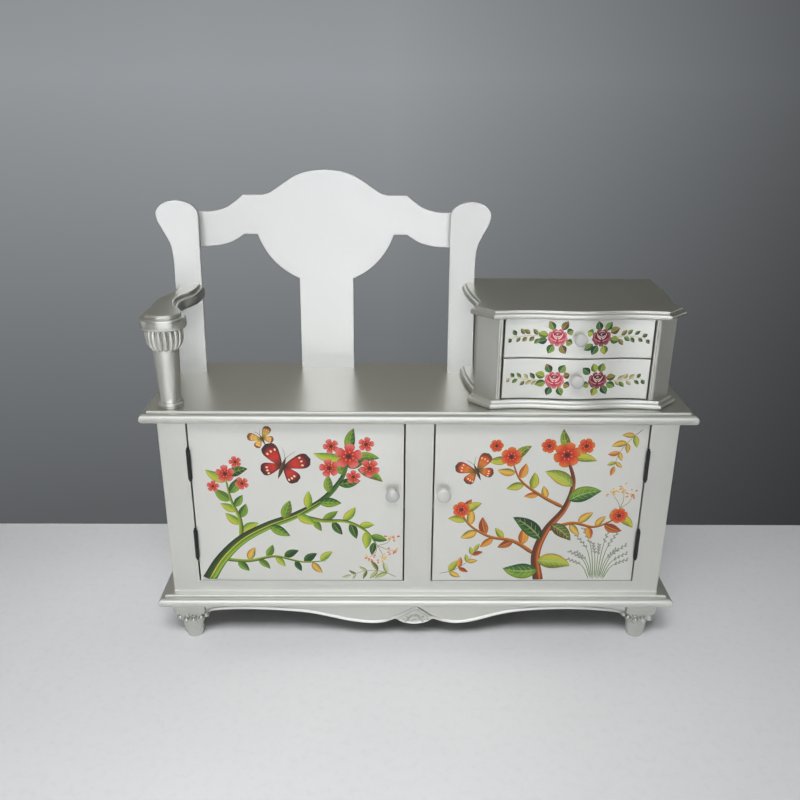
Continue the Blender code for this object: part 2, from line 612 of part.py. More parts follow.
# ---------------------------------------------------------------- moving groups
def carry(name, at, members):
    """Empty on a joint's axis that carries the pieces which move on it."""
    axis = bpy.data.objects.new(name, None)
    scene.collection.objects.link(axis)
    axis.location = at
    bpy.context.view_layer.update()
    for obj in members:
        world = obj.matrix_world.copy()
        obj.parent = axis
        obj.matrix_parent_inverse = Matrix.Identity(4)
        obj.matrix_basis = Matrix.Translation(-Vector(at)) @ world
    return axis


for side, s in (("left", -1), ("right", 1)):
    carry("door_axis_" + side, (s * HINGE_X, HINGE_Y, 0.0), doors[side])
for level in ("upper", "lower"):
    carry("drawer_axis_" + level,
          (CHEST_X, DRAWER_REAR_Y, DRAWER_BOX_Z[level]), drawers[level])

# ---------------------------------------------------------------- centre on the floor
# The crest's top leans out behind the cabinet and the arm rest comes out in front,
# so everything moves until the object's box is centred over the origin.
rear = (LEAN @ Vector((0, BACK_FRONT_Y + CREST_T, 0.388))).y
front = min(FRONT_Y, min(y for x, y in offset(arm_line, 0.0075)))
shift = -(front + rear) / 2
for obj in bpy.data.objects:
    if obj.parent is None:
        obj.location.y += shift
bpy.context.view_layer.update()
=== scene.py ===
"""Visual model of the hall bench with its shoe cabinet, back, arm rest and small
chest of drawers. Metres, +Z up, -Y is the front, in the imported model's frame.
"""
import math
import random

import bmesh
import bpy
from mathutils import Matrix, Vector, noise

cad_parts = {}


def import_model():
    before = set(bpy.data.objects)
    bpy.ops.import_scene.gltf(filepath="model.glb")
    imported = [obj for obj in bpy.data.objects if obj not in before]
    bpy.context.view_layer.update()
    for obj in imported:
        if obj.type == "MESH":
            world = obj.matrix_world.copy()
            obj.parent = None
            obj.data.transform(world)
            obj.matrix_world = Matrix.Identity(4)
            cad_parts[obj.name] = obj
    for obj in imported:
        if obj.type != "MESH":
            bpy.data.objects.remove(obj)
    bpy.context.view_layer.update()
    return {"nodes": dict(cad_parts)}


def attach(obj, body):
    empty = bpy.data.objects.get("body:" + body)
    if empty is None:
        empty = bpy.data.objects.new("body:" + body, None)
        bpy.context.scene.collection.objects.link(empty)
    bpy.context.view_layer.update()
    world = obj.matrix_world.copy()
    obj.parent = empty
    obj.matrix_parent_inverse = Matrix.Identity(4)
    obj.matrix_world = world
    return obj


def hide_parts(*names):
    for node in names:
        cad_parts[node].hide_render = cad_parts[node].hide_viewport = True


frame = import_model()
NODES = frame["nodes"]
scene = bpy.context.scene

# ---------------------------------------------------------------- dimensions
BENCH_W = {"top": 0.994, "plinth": 0.998}
FRONT_Y, REAR_Y = -0.1355, 0.1400
SEAT_Z = 0.4985
TOP_BEAD_Z = (0.4772, 0.4947)
PLINTH_BEAD_Z = (0.0913, 0.1083)
PLINTH_Z = 0.1136
STEP_IN = 0.0115
BEAD_R = 0.0078

FACE_Y = -0.1114
BOARD = 0.018
STILE_OUT = 0.4714
DOOR_OUT = 0.4180
DOOR_GAP = 0.0025
STILE_C = {"left": 0.0244, "right": 0.0274}
DOOR_Z = (0.1392, 0.4747)

HINGE_Z = (0.2225, 0.3895)
HINGE_LEN = 0.059
KNUCKLE_R = 0.00375
HINGE_X = DOOR_OUT + DOOR_GAP / 2
HINGE_Y = FACE_Y - KNUCKLE_R - 0.00035

FOOT_X = 0.4448
FOOT_Y = (-0.087, 0.104)
FOOT_BLOCK = 0.062
APRON_Y = -0.1140
APRON_HALF = FOOT_X - FOOT_BLOCK / 2
APRON_TOP = PLINTH_BEAD_Z[0]

KNOB_X, KNOB_Z = 0.0475, 0.332

BACK_X = -0.179
BACK_FRONT_Y = 0.1136
CREST_T = 0.020
POST_FRONT_Y = 0.0877
POST_T = 0.036
POST_IN = 0.2395
TOE = math.radians(12.0)
RECLINE = math.radians(5.0)

ARM_Z = (0.6458, 0.6665, 0.6735)
ARM_POST = (-0.4465, -0.0950)

CHEST_X = 0.278
CHEST_BASE_Z = (SEAT_Z, 0.5090, 0.5135)
CHEST_TOP_Z = (0.6645, 0.6750, 0.6795)
CHEST_BACK_Y = 0.134
BEAD_FRONT_Y = -0.1125
WAVE, WAVE_LEN = 0.0035, 0.18
DRAWER_HALF = 0.1306
DRAWER_FRONT_Y = -0.0992
DRAWER_REAR_Y = -0.0835
DRAWER_Z = {"lower": (0.5147, 0.5893), "upper": (0.5917, 0.6632)}
DRAWER_KNOB_Z = {"lower": 0.5522, "upper": 0.6295}

LEAN = (Matrix.Translation((0, BACK_FRONT_Y, SEAT_Z))
        @ Matrix.Rotation(-RECLINE, 4, 'X')
        @ Matrix.Translation((0, -BACK_FRONT_Y, 0)))
SHIFT = Vector((0.0, -0.0156595, 0.0))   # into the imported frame


# ---------------------------------------------------------------- camera
def camera():
    pitch, yaw, roll, focal = 0.376026, 0.0114666, -0.0078606, 839.689
    fwd = Vector((math.sin(yaw) * math.cos(pitch), math.cos(yaw) * math.cos(pitch),
                  -math.sin(pitch)))
    right = Vector((math.cos(yaw), -math.sin(yaw), 0.0))
    down = fwd.cross(right)
    r2 = right * math.cos(roll) + down * math.sin(roll)
    d2 = down * math.cos(roll) - right * math.sin(roll)
    data = bpy.data.cameras.new("camera")
    data.sensor_width = 36.0
    data.sensor_fit = 'HORIZONTAL'
    data.lens = focal * 36.0 / 800.0
    data.clip_start, data.clip_end = 0.05, 60.0
    obj = bpy.data.objects.new("camera", data)
    rows = Matrix((r2, -d2, -fwd)).transposed().to_4x4()
    obj.matrix_world = Matrix.Translation((-0.050947, -1.516565, 1.064803)) @ rows
    scene.collection.objects.link(obj)
    scene.camera = obj


camera()

# ---------------------------------------------------------------- materials
def lin(r, g, b):
    """0-255 display colour to the linear values that shaders use."""
    def one(c):
        c /= 255.0
        return c / 12.92 if c <= 0.04045 else ((c + 0.055) / 1.055) ** 2.4
    return (one(r), one(g), one(b))


class Mat:
    """Small helper that builds a node material on object coordinates."""

    def __init__(self, name):
        self.m = bpy.data.materials.new(name)
        self.m.use_nodes = True
        self.nt = self.m.node_tree
        self.bsdf = self.nt.nodes["Principled BSDF"]
        self.coord = self.nt.nodes.new("ShaderNodeTexCoord")

    def set(self, **values):
        for key, value in values.items():
            socket = self.bsdf.inputs[key.replace("_", " ")]
            socket.default_value = (*value, 1.0) if isinstance(value, tuple) and len(value) == 3 \
                else value
        return self

    def link(self, a, b):
        self.nt.links.new(a, b)

    def mapped(self, scale):
        node = self.nt.nodes.new("ShaderNodeMapping")
        node.inputs["Scale"].default_value = scale
        self.link(self.coord.outputs["Object"], node.inputs["Vector"])
        return node.outputs["Vector"]

    def noise(self, scale, detail=3.0, rough=0.5, vector=None, distortion=0.0):
        node = self.nt.nodes.new("ShaderNodeTexNoise")
        node.inputs["Scale"].default_value = scale
        node.inputs["Detail"].default_value = detail
        node.inputs["Roughness"].default_value = rough
        node.inputs["Distortion"].default_value = distortion
        self.link(vector or self.coord.outputs["Object"], node.inputs["Vector"])
        return node.outputs["Fac"]

    def ramp(self, fac, stops):
        node = self.nt.nodes.new("ShaderNodeValToRGB")
        els = node.color_ramp.elements
        while len(els) < len(stops):
            els.new(0.5)
        for el, (pos, col) in zip(els, stops):
            el.position = pos
            el.color = (*col, 1.0)
        self.link(fac, node.inputs["Fac"])
        return node.outputs["Color"]

    def span(self, fac, lo, hi):
        node = self.nt.nodes.new("ShaderNodeMapRange")
        node.inputs["From Min"].default_value = 0.3
        node.inputs["From Max"].default_value = 0.7
        node.inputs["To Min"].default_value = lo
        node.inputs["To Max"].default_value = hi
        self.link(fac, node.inputs["Value"])
        return node.outputs["Result"]

    def mix(self, a, b, fac, blend='MIX'):
        node = self.nt.nodes.new("ShaderNodeMix")
        node.data_type = 'RGBA'
        node.blend_type = blend
        if isinstance(fac, float):
            node.inputs["Factor"].default_value = fac
        else:
            self.link(fac, node.inputs["Factor"])
        self.link(a, node.inputs["A"])
        self.link(b, node.inputs["B"])
        return node.outputs["Result"]

    def bump(self, height, strength, distance):
        node = self.nt.nodes.new("ShaderNodeBump")
        node.inputs["Strength"].default_value = strength
        node.inputs["Distance"].default_value = distance
        self.link(height, node.inputs["Height"])
        self.link(node.outputs["Normal"], self.bsdf.inputs["Normal"])

    def base(self, colour):
        self.link(colour, self.bsdf.inputs["Base Color"])
        return self

    def rough(self, value):
        self.link(value, self.bsdf.inputs["Roughness"])
        return self


def shade(col, k):
    return tuple(min(1.0, max(0.0, c * k)) for c in col)


def pearl(name, col, metal, lo, hi, coat=0.20, flake=0.018, peel=0.015):
    """Sprayed pearl paint: fine flake, faint clouding, soft orange peel, satin coat."""
    t = Mat(name)
    flakes = t.ramp(t.noise(1100.0, 2.0, 0.6),
                    [(0.30, shade(col, 1 - flake)), (0.70, shade(col, 1 + flake))])
    cloud = t.ramp(t.noise(5.0, 3.0, 0.5), [(0.30, (0.982, 0.983, 0.986)), (0.72, (1.0, 1.0, 1.0))])
    t.base(t.mix(flakes, cloud, 1.0, 'MULTIPLY'))
    t.rough(t.span(t.noise(18.0, 3.0, 0.5), lo, hi))
    t.bump(t.noise(90.0, 1.0, 0.4), peel, 0.00025)
    t.set(Metallic=metal, Coat_Weight=coat, Coat_Roughness=0.18, Coat_IOR=1.5)
    return t.m


def wood(name, dark, light, axis):
    """Sealed plain wood with its grain along the given axis."""
    t = Mat(name)
    scale = [34.0, 34.0, 34.0]
    scale[axis] = 2.2
    vec = t.mapped(scale)
    rings = t.noise(1.0, 5.0, 0.6, vec, 1.4)
    fine = [520.0, 520.0, 520.0]
    fine[axis] = 14.0
    pores = t.noise(1.0, 2.0, 0.7, t.mapped(fine))
    col = t.ramp(rings, [(0.28, dark), (0.52, tuple((a + b) / 2 for a, b in zip(dark, light))),
                         (0.74, light)])
    dots = t.ramp(pores, [(0.34, (0.72, 0.66, 0.60)), (0.50, (1.0, 1.0, 1.0))])
    t.base(t.mix(col, dots, 0.8, 'MULTIPLY'))
    t.rough(t.span(rings, 0.44, 0.58))
    t.bump(pores, 0.25, 0.0002)
    return t.m


PEARL = pearl("pearl_paint", (0.738, 0.738, 0.684), 0.90, 0.31, 0.35)
# lighter, less metallic copy of the pearl paint: painted light that brightens the crest and back posts
PEARL_BACK_LIT = pearl("pearl_paint_back_painted_light", (0.790, 0.790, 0.755), 0.62, 0.36, 0.40)
# darker copy of the pearl paint: painted shade on the level tops of the seat, arm rest and chest
PEARL_TOP_SHADED = pearl("pearl_paint_top_painted_shade", (0.676, 0.674, 0.616), 0.95, 0.32, 0.36)
# darker copy of the pearl paint: painted shade on the feet
PEARL_FOOT_SHADED = pearl("pearl_paint_foot_painted_shade", (0.640, 0.640, 0.592), 0.92, 0.25, 0.29, 0.35)
PANEL = pearl("cream_panel", (0.760, 0.760, 0.712), 0.60, 0.33, 0.38, 0.25, 0.015)
# near-black colour for undersides and inner faces: painted shade that deepens the shadow under the bench
UNDER_SHADE = pearl("underside_painted_shade", (0.105, 0.103, 0.100), 0.0, 0.55, 0.65, 0.05, 0.06)
INNER = pearl("inner_board", (0.62, 0.61, 0.57), 0.15, 0.48, 0.58, 0.05, 0.02)


def knob_white(name, col, metal):
    t = Mat(name)
    t.base(t.ramp(t.noise(60.0, 3.0), [(0.3, shade(col, 0.97)), (0.7, col)]))
    t.rough(t.span(t.noise(45.0, 3.0), 0.13, 0.21))
    t.bump(t.noise(300.0, 2.0), 0.04, 0.0002)
    t.set(Metallic=metal, Coat_Weight=0.5, Coat_Roughness=0.08)
    return t.m


KNOB = knob_white("white_knob", (0.63, 0.63, 0.61), 0.0)
KNOB_PEARL = knob_white("pearl_knob", (0.60, 0.60, 0.58), 0.30)


def lacquer():
    t = Mat("black_hinge")
    worn = t.noise(180.0, 5.0, 0.65)
    t.base(t.ramp(worn, [(0.35, (0.010, 0.010, 0.011)), (0.78, (0.030, 0.029, 0.028))]))
    t.rough(t.span(t.noise(90.0, 4.0), 0.34, 0.52))
    t.bump(worn, 0.12, 0.0002)
    t.set(Metallic=0.25)
    return t.m


def steel():
    t = Mat("screw_steel")
    t.base(t.ramp(t.noise(240.0, 4.0), [(0.3, (0.42, 0.41, 0.39)), (0.7, (0.55, 0.55, 0.54))]))
    t.rough(t.span(t.noise(160.0, 3.0), 0.28, 0.42))
    t.set(Metallic=1.0)
    return t.m


def fibreboard():
    t = Mat("back_board")
    fibre = t.noise(700.0, 4.0, 0.7)
    cloud = t.noise(14.0, 4.0, 0.6)
    col = t.ramp(fibre, [(0.32, (0.36, 0.27, 0.18)), (0.70, (0.50, 0.40, 0.29))])
    t.base(t.mix(col, t.ramp(cloud, [(0.3, (0.88, 0.87, 0.85)), (0.7, (1.0, 1.0, 1.0))]),
                 1.0, 'MULTIPLY'))
    t.rough(t.span(cloud, 0.66, 0.80))
    t.bump(fibre, 0.22, 0.0003)
    return t.m


def plastic():
    t = Mat("catch_body")
    grain = t.noise(900.0, 2.0)
    t.base(t.ramp(t.noise(40.0, 3.0), [(0.3, (0.76, 0.76, 0.74)), (0.7, (0.83, 0.83, 0.81))]))
    t.rough(t.span(grain, 0.42, 0.52))
    t.bump(grain, 0.15, 0.0001)
    return t.m


def artist_paint():
    """Hand-laid decorator's paint: the colour is stored on the strokes."""
    t = Mat("brushed_colour")
    attr = t.nt.nodes.new("ShaderNodeAttribute")
    attr.attribute_name = "paint"
    brush = t.noise(1.0, 3.0, 0.6, t.mapped((900.0, 900.0, 420.0)))
    tone = t.ramp(brush, [(0.30, (0.86, 0.86, 0.86)), (0.66, (1.0, 1.0, 1.0))])
    t.base(t.mix(attr.outputs["Color"], tone, 0.7, 'MULTIPLY'))
    t.rough(t.span(brush, 0.36, 0.50))
    t.bump(brush, 0.20, 0.0002)
    return t.m


HINGE = lacquer()
STEEL = steel()
FIBRE = fibreboard()
PLASTIC = plastic()
COLOUR = artist_paint()
WOOD_X = wood("drawer_wood_x", (0.36, 0.22, 0.115), (0.60, 0.42, 0.25), 0)
WOOD_Y = wood("drawer_wood_y", (0.36, 0.22, 0.115), (0.60, 0.42, 0.25), 1)


# ---------------------------------------------------------------- mesh helpers
def piece(name, bm, mat, body, *nodes, slot="pearl_paint", angle=35.0):
    bmesh.ops.recalc_face_normals(bm, faces=bm.faces)
    bmesh.ops.translate(bm, vec=SHIFT, verts=bm.verts)
    mesh = bpy.data.meshes.new(name)
    bm.to_mesh(mesh)
    bm.free()
    mesh.materials.append(mat)
    mesh.shade_smooth()
    mesh.set_sharp_from_angle(angle=math.radians(angle))
    obj = bpy.data.objects.new(name, mesh)
    scene.collection.objects.link(obj)
    mod = obj.modifiers.new("normals", 'WEIGHTED_NORMAL')
    mod.keep_sharp = True
    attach(obj, body)
    if nodes:
        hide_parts(*nodes)
    return obj


def underside(obj, way, mat):
    """Give the faces that look the given way a dark colour: painted shade on the hidden sides."""
    obj.data.materials.append(mat)
    way = Vector(way)
    for face in obj.data.polygons:
        if face.normal.dot(way) > 0.99:
            face.material_index = 1


def skin(bm, loops, close=True, caps=(True, True)):
    """Faces between loops of equal length, with a cap on each end."""
    rows = [[bm.verts.new(p) for p in loop] for loop in loops]
    n = len(rows[0])
    for a, b in zip(rows, rows[1:]):
        for i in range(n if close else n - 1):
            j = (i + 1) % n
            bm.faces.new((a[i], a[j], b[j], b[i]))
    if caps[0]:
        bm.faces.new(rows[0][::-1])
    if caps[1]:
        bm.faces.new(rows[-1])
    return rows


def spline(points, steps=5):
    """Points on a smooth open curve through the given ones (Catmull-Rom)."""
    p = [Vector(q) for q in points]
    p = [2 * p[0] - p[1]] + p + [2 * p[-1] - p[-2]]
    out = []
    for i in range(1, len(p) - 2):
        a, b, c, d = p[i - 1:i + 3]
        for k in range(steps):
            t = k / steps
            q = 0.5 * (2 * b + (c - a) * t + (2 * a - 5 * b + 4 * c - d) * t * t
                       + (3 * b - a - 3 * c + d) * t ** 3)
            out.append(tuple(q))
    out.append(tuple(p[-2]))
    return out


def offset(pts, dist):
    """Move a counter-clockwise closed outline outwards by dist, with mitres."""
    n = len(pts)
    out = []
    for i in range(n):
        a, b, c = Vector(pts[i - 1]), Vector(pts[i]), Vector(pts[(i + 1) % n])
        n1 = Vector((b - a).orthogonal()).normalized() * -1
        n2 = Vector((c - b).orthogonal()).normalized() * -1
        m = n1 + n2
        out.append(tuple(b + m * (dist / max(0.35, (1 + n1.dot(n2)) / 2) / 2)))
    return out


def area(pts):
    return sum(pts[i - 1][0] * pts[i][1] - pts[i][0] * pts[i - 1][1]
               for i in range(len(pts))) / 2


def ccw(pts):
    return pts if area(pts) > 0 else pts[::-1]


def slab(bm, pts, thick, front, back, place, steps=4):
    """Board of a flat outline with rounded front and back edges. place maps the
    outline's coordinates and a depth from the front face to space."""
    pts = ccw(pts)
    loops = []
    for k in range(steps + 1):
        a = math.pi / 2 * k / steps
        loops.append((front * (1 - math.sin(a)), front * (1 - math.cos(a))))
    for k in range(steps + 1):
        a = math.pi / 2 * k / steps
        loops.append((back * (1 - math.cos(a)), thick - back + back * math.sin(a)))
    skin(bm, [[place(u, v, d) for u, v in offset(pts, -i)] for i, d in loops])
    return bm


def ridge(bm, path, width, height, place, n=8):
    """Raised half-round bead along a path."""
    section = [(width / 2 * math.cos(q), height * math.sin(q))
               for q in (-0.45 + (math.pi + 0.9) * k / n for k in range(n + 1))]
    return moulding(bm, path, section, place)


def moulding(bm, path, section, place, scale=lambda t: 1.0):
    """Raised moulding along a path: section lists (offset to the left of the path,
    height above the board), scaled along the path."""
    loops = []
    last = len(path) - 1
    for i, p in enumerate(path):
        a, b = Vector(path[max(0, i - 1)]), Vector(path[min(last, i + 1)])
        t = (b - a).normalized()
        k = scale(i / last)
        loops.append([place(p[0] - t.y * u * k, p[1] + t.x * u * k, -h * k) for u, h in section])
    skin(bm, loops)
    return bm


LIP = [(u / 1000, h / 1000) for u, h in (
    (2.9, -0.5), (2.85, 0.10), (2.3, 0.62), (1.2, 1.54), (0.0, 2.32), (-1.0, 2.86), (-1.6, 3.10),
    (-2.1, 3.15), (-2.45, 2.95), (-2.66, 2.45), (-2.72, 1.20), (-2.72, -0.5))]


def flowing(path, step, rounds):
    """The path with points at even distances, its corners eased and its ends kept."""
    run = [0.0]
    for a, b in zip(path, path[1:]):
        run.append(run[-1] + math.dist(a, b))
    count = max(2, round(run[-1] / step))
    out, j = [], 0
    for k in range(count + 1):
        at = run[-1] * k / count
        while j < len(run) - 2 and run[j + 1] < at:
            j += 1
        q = (at - run[j]) / max(1e-9, run[j + 1] - run[j])
        out.append(tuple(a + (b - a) * q for a, b in zip(path[j], path[j + 1])))
    for _ in range(rounds):
        out = out[:1] + [tuple((a + 2 * b + c) / 4 for a, b, c in zip(*three))
                         for three in zip(out, out[1:], out[2:])] + out[-1:]
    return out


def tube(bm, path, r, n=8):
    """Round rod with closed ends along points in space."""
    loops = []
    last = len(path) - 1
    for i, p in enumerate(path):
        p = Vector(p)
        t = (Vector(path[min(last, i + 1)]) - Vector(path[max(0, i - 1)])).normalized()
        e = t.orthogonal().normalized() if i == 0 else (e - t * e.dot(t)).normalized()
        f = t.cross(e)
        k = r * (0.55 if i in (0, last) else 1.0)
        loops.append([p + e * k * math.cos(q) + f * k * math.sin(q)
                      for q in (2 * math.pi * j / n for j in range(n))])
    skin(bm, loops)
    return bm


def lathe(bm, profile, seg=48, place=Matrix.Identity(4), shape=None):
    """Turned form of (radius, height) points; shape may change the radius round it."""
    loops = []
    ends = [None, None]
    for i, (r, h) in enumerate(profile):
        if r < 1e-7:
            ends[0 if i == 0 else 1] = bm.verts.new(place @ Vector((0, 0, h)))
            continue
        row = []
        for k in range(seg):
            a = 2 * math.pi * k / seg
            q = shape(a, r, h) if shape else r
            row.append(bm.verts.new(place @ Vector((q * math.cos(a), q * math.sin(a), h))))
        loops.append(row)
    for a, b in zip(loops, loops[1:]):
        for k in range(seg):
            j = (k + 1) % seg
            bm.faces.new((a[k], a[j], b[j], b[k]))
    for end, row in ((ends[0], loops[0]), (ends[1], loops[-1])):
        if end is None:
            bm.faces.new(row)
        else:
            for k in range(seg):
                bm.faces.new((row[k], row[(k + 1) % seg], end))
    return bm


def blob(bm, matrix, seg=14, rings=9):
    """Unit ball under a matrix, for carved beads and petals."""
    prof = [(math.sin(math.pi * k / rings), math.cos(math.pi * k / rings))
            for k in range(rings + 1)]
    prof[0], prof[-1] = (0.0, 1.0), (0.0, -1.0)
    return lathe(bm, prof, seg, matrix)


def box(bm, lo, hi, r=0.0008):
    """Box with softened edges."""
    made = bmesh.ops.create_cube(bm, size=1.0)["verts"]
    for v in made:
        v.co = Vector([l + (c + 0.5) * (h - l) for c, l, h in zip(v.co, lo, hi)])
    edges = list({e for v in made for e in v.link_edges})
    bmesh.ops.bevel(bm, geom=edges, offset=r, segments=2, profile=0.5, affect='EDGES')
    return bm


def cut(bm, cutter):
    """First form minus the second."""
    objs = []
    for name, form in (("cut_from", bm), ("cut_by", cutter)):
        bmesh.ops.recalc_face_normals(form, faces=form.faces)
        mesh = bpy.data.meshes.new(name)
        form.to_mesh(mesh)
        form.free()
        obj = bpy.data.objects.new(name, mesh)
        scene.collection.objects.link(obj)
        objs.append(obj)
    mod = objs[0].modifiers.new("cut", 'BOOLEAN')
    mod.operation = 'DIFFERENCE'
    mod.solver = 'EXACT'
    mod.object = objs[1]
    mesh = bpy.data.meshes.new_from_object(
        objs[0].evaluated_get(bpy.context.evaluated_depsgraph_get()))
    out = bmesh.new()
    out.from_mesh(mesh)
    bpy.data.meshes.remove(mesh)
    for obj in objs:
        data = obj.data
        bpy.data.objects.remove(obj, do_unlink=True)
        bpy.data.meshes.remove(data)
    return out


def arc(cx, cz, rx, rz, a0, a1, n):
    return [(cx + rx * math.cos(a), cz + rz * math.sin(a))
            for a in (math.radians(a0 + (a1 - a0) * k / n) for k in range(n + 1))]


# ---------------------------------------------------------------- moulded boards
def moulded(width, bead_z, top_z):
    """Bead on three sides, a fine quirk behind it and a stepped-in layer above."""
    hw = width / 2
    zm, zr = (bead_z[0] + bead_z[1]) / 2, (bead_z[1] - bead_z[0]) / 2
    zr += 0.0004
    prof = [(BEAD_R - BEAD_R * math.cos(math.radians(a)), zm + zr * math.sin(math.radians(a)))
            for a in range(-90, 1, 9)]
    prof += [(0.0096 - 0.0096 * math.cos(math.radians(a)), zm + zr * math.sin(math.radians(a)))
             for a in range(9, 85, 6)]
    prof += [(STEP_IN - 0.0017, bead_z[1] - 0.0001), (STEP_IN - 0.0010, bead_z[1] - 0.0009),
             (STEP_IN - 0.0003, bead_z[1] - 0.0007), (STEP_IN, bead_z[1] + 0.0003)]
    r = 0.0030
    prof += [(STEP_IN + r - r * math.cos(a), top_z - r + r * math.sin(a))
             for a in (math.pi / 2 * k / 6 for k in range(7))]
    loops = []
    for inset, z in prof:
        x, y, rc = hw - inset, FRONT_Y + inset, 0.0016
        turn = [(math.pi * 1.5 + math.pi / 2 * k / 4) for k in range(5)]
        right = [(x - rc + rc * math.cos(a), y + rc + rc * math.sin(a)) for a in turn]
        left = [(-u, v) for u, v in right][::-1]
        loops.append([(u, v, z) for u, v in left + right + [(x, REAR_Y), (-x, REAR_Y)]])
    bm = bmesh.new()
    skin(bm, loops)
    return bm


piece("bench_top_board", moulded(BENCH_W["top"], TOP_BEAD_Z, SEAT_Z), PEARL_TOP_SHADED, "cabinet",
      "bench_top")
board = piece("plinth_board", moulded(BENCH_W["plinth"], PLINTH_BEAD_Z, PLINTH_Z), PEARL, "cabinet",
              "base_plinth")
underside(board, (0, 0, -1), UNDER_SHADE)
# fine cove in the corner between the plinth and the face
bm = bmesh.new()
cove = [(0.0004, 0.0026), (-0.0002, 0.0026)] + \
    [(-0.0026 + 0.0024 * math.cos(a), 0.0026 - 0.0024 * math.sin(a))
     for a in (math.pi / 2 * k / 6 for k in range(7))] + [(-0.0026, -0.0004), (0.0004, -0.0004)]
skin(bm, [[(x, FACE_Y + y, PLINTH_Z + z) for y, z in cove] for x in (-STILE_OUT, STILE_OUT)])
piece("plinth_cove", bm, PEARL, "cabinet")


# ---------------------------------------------------------------- cabinet front
def on_face(u, v, d):
    return Vector((u, FACE_Y + d, v))


def face_frame():
    z0, z1 = PLINTH_Z, TOP_BEAD_Z[0]
    zr, side = DOOR_Z[0] - 0.0011, DOOR_OUT + DOOR_GAP
    pts = [(-STILE_OUT, z0), (STILE_OUT, z0), (STILE_OUT, z1), (side, z1), (side, zr),
           (STILE_C["right"], zr), (STILE_C["right"], z1), (-STILE_C["left"], z1),
           (-STILE_C["left"], zr), (-side, zr),
           (-side, z1), (-STILE_OUT, z1)]
    return slab(bmesh.new(), pts, BOARD, 0.0012, 0.0008, on_face)


piece("face_frame", face_frame(), PEARL, "cabinet",
      "stile_left", "stile_right", "stile_centre", "bottom_rail")

FACING = Matrix.Rotation(math.pi / 2, 4, 'X')


def knob_form(r, out):
    """Low domed knob on a waisted neck with a foot ring."""
    prof = [(0.0, out)]
    prof += [(r * math.sin(a), out - 0.46 * r * (1 - math.cos(a)))
             for a in (math.pi / 2 * k / 12 for k in range(1, 13))]
    prof += [(r * 0.985, out - 0.56 * r), (r * 0.93, out - 0.66 * r), (r * 0.80, out - 0.78 * r),
             (r * 0.60, out - 0.87 * r), (r * 0.47, out - 0.95 * r), (r * 0.43, 0.0050),
             (r * 0.46, 0.0038), (r * 0.56, 0.0030), (r * 0.60, 0.0022), (r * 0.60, 0.0010),
             (r * 0.57, 0.0), (0.0, 0.0)]
    return prof


def screw_head(bm, place):
    """Round screw head with a cross recess, seen behind a knob."""
    prof = [(0.0, 0.0022), (0.0012, 0.0021), (0.0026, 0.0018), (0.0038, 0.0012),
            (0.0046, 0.0004), (0.0046, 0.0), (0.0, 0.0)]
    lathe(bm, prof, 24, place)
    for turn in (0.0, math.pi / 2):
        bar = bmesh.ops.create_cube(bm, size=1.0)["verts"]
        m = place @ Matrix.Rotation(turn, 4, 'Z') @ Matrix.Translation((0, 0, 0.0019)) \
            @ Matrix.Diagonal((0.0044, 0.0009, 0.0009, 1.0))
        for v in bar:
            v.co = m @ v.co


for side, s in (("left", -1), ("right", 1)):
    body = "door_" + side
    inner = STILE_C[side] + DOOR_GAP
    pts = [(s * inner, DOOR_Z[0]), (s * DOOR_OUT, DOOR_Z[0]), (s * DOOR_OUT, DOOR_Z[1]),
           (s * inner, DOOR_Z[1])]
    piece(body + "_board", slab(bmesh.new(), pts, BOARD, 0.0015, 0.0010, on_face), PANEL, body,
          body, slot="cream_panel")
    at = Matrix.Translation((s * KNOB_X, FACE_Y, KNOB_Z))
    piece("door_knob_%s_turned" % side, lathe(bmesh.new(), knob_form(0.0130, 0.0215), 64, at @ FACING),
          KNOB_PEARL if s < 0 else KNOB, body, "door_knob_" + side, slot="white_knob", angle=50)
    bm = bmesh.new()
    screw_head(bm, Matrix.Translation((s * KNOB_X, FACE_Y + BOARD, KNOB_Z))
               @ Matrix.Rotation(-math.pi / 2, 4, 'X'))
    piece("door_knob_screw_" + side, bm, STEEL, body, slot="black_hinge")


# ---------------------------------------------------------------- hinges
def knuckle(bm, cx, zc, lo, hi):
    r, c = KNUCKLE_R, 0.0005
    prof = [(0.0, zc + hi), (r - c, zc + hi), (r - c * 0.3, zc + hi - c * 0.3), (r, zc + hi - c),
            (r, zc + lo + c), (r - c * 0.3, zc + lo + c * 0.3), (r - c, zc + lo), (0.0, zc + lo)]
    lathe(bm, prof, 32, Matrix.Translation((cx, HINGE_Y, 0)))


def leaf_plate(bm, cx, sign, zc):
    x = sorted((cx + sign * 0.00015, cx + sign * 0.00105))
    box(bm, (x[0], HINGE_Y + 0.0008, zc - HINGE_LEN / 2),
        (x[1], HINGE_Y + 0.0195, zc + HINGE_LEN / 2), 0.0002)


third = HINGE_LEN / 6
for side, s in (("left", -1), ("right", 1)):
    for level, zc in zip(("lower", "upper"), HINGE_Z):
        tag = "hinge_%s_%s" % (side, level)
        cx = s * HINGE_X
        bm = bmesh.new()
        leaf_plate(bm, cx, s, zc)
        knuckle(bm, cx, zc, -3 * third, -third - 0.0003)
        knuckle(bm, cx, zc, third + 0.0003, 3 * third)
        half = HINGE_LEN / 2
        for up in (1, -1):       # ball ends of the pin
            prof = [(0.0, 0.0052), (0.0010, 0.0050), (0.0019, 0.0044), (0.0025, 0.0035),
                    (0.0026, 0.0026), (0.0022, 0.0017), (0.0019, 0.0010), (0.0024, 0.0006),
                    (0.0024, -0.0008), (0.0, -0.0008)]
            lathe(bm, prof, 20, Matrix.Translation((cx, HINGE_Y, zc + up * half))
                  @ Matrix.Diagonal((1, 1, up, 1)))
        piece(tag + "_fixed_leaf", bm, HINGE, "cabinet", tag + "_frame_leaf", tag + "_pin",
              slot="black_hinge")
        bm = bmesh.new()
        leaf_plate(bm, cx, -s, zc)
        knuckle(bm, cx, zc, -third + 0.0003, third - 0.0003)
        piece(tag + "_moving_leaf", bm, HINGE, "door_" + side, tag + "_door_leaf",
              slot="black_hinge")


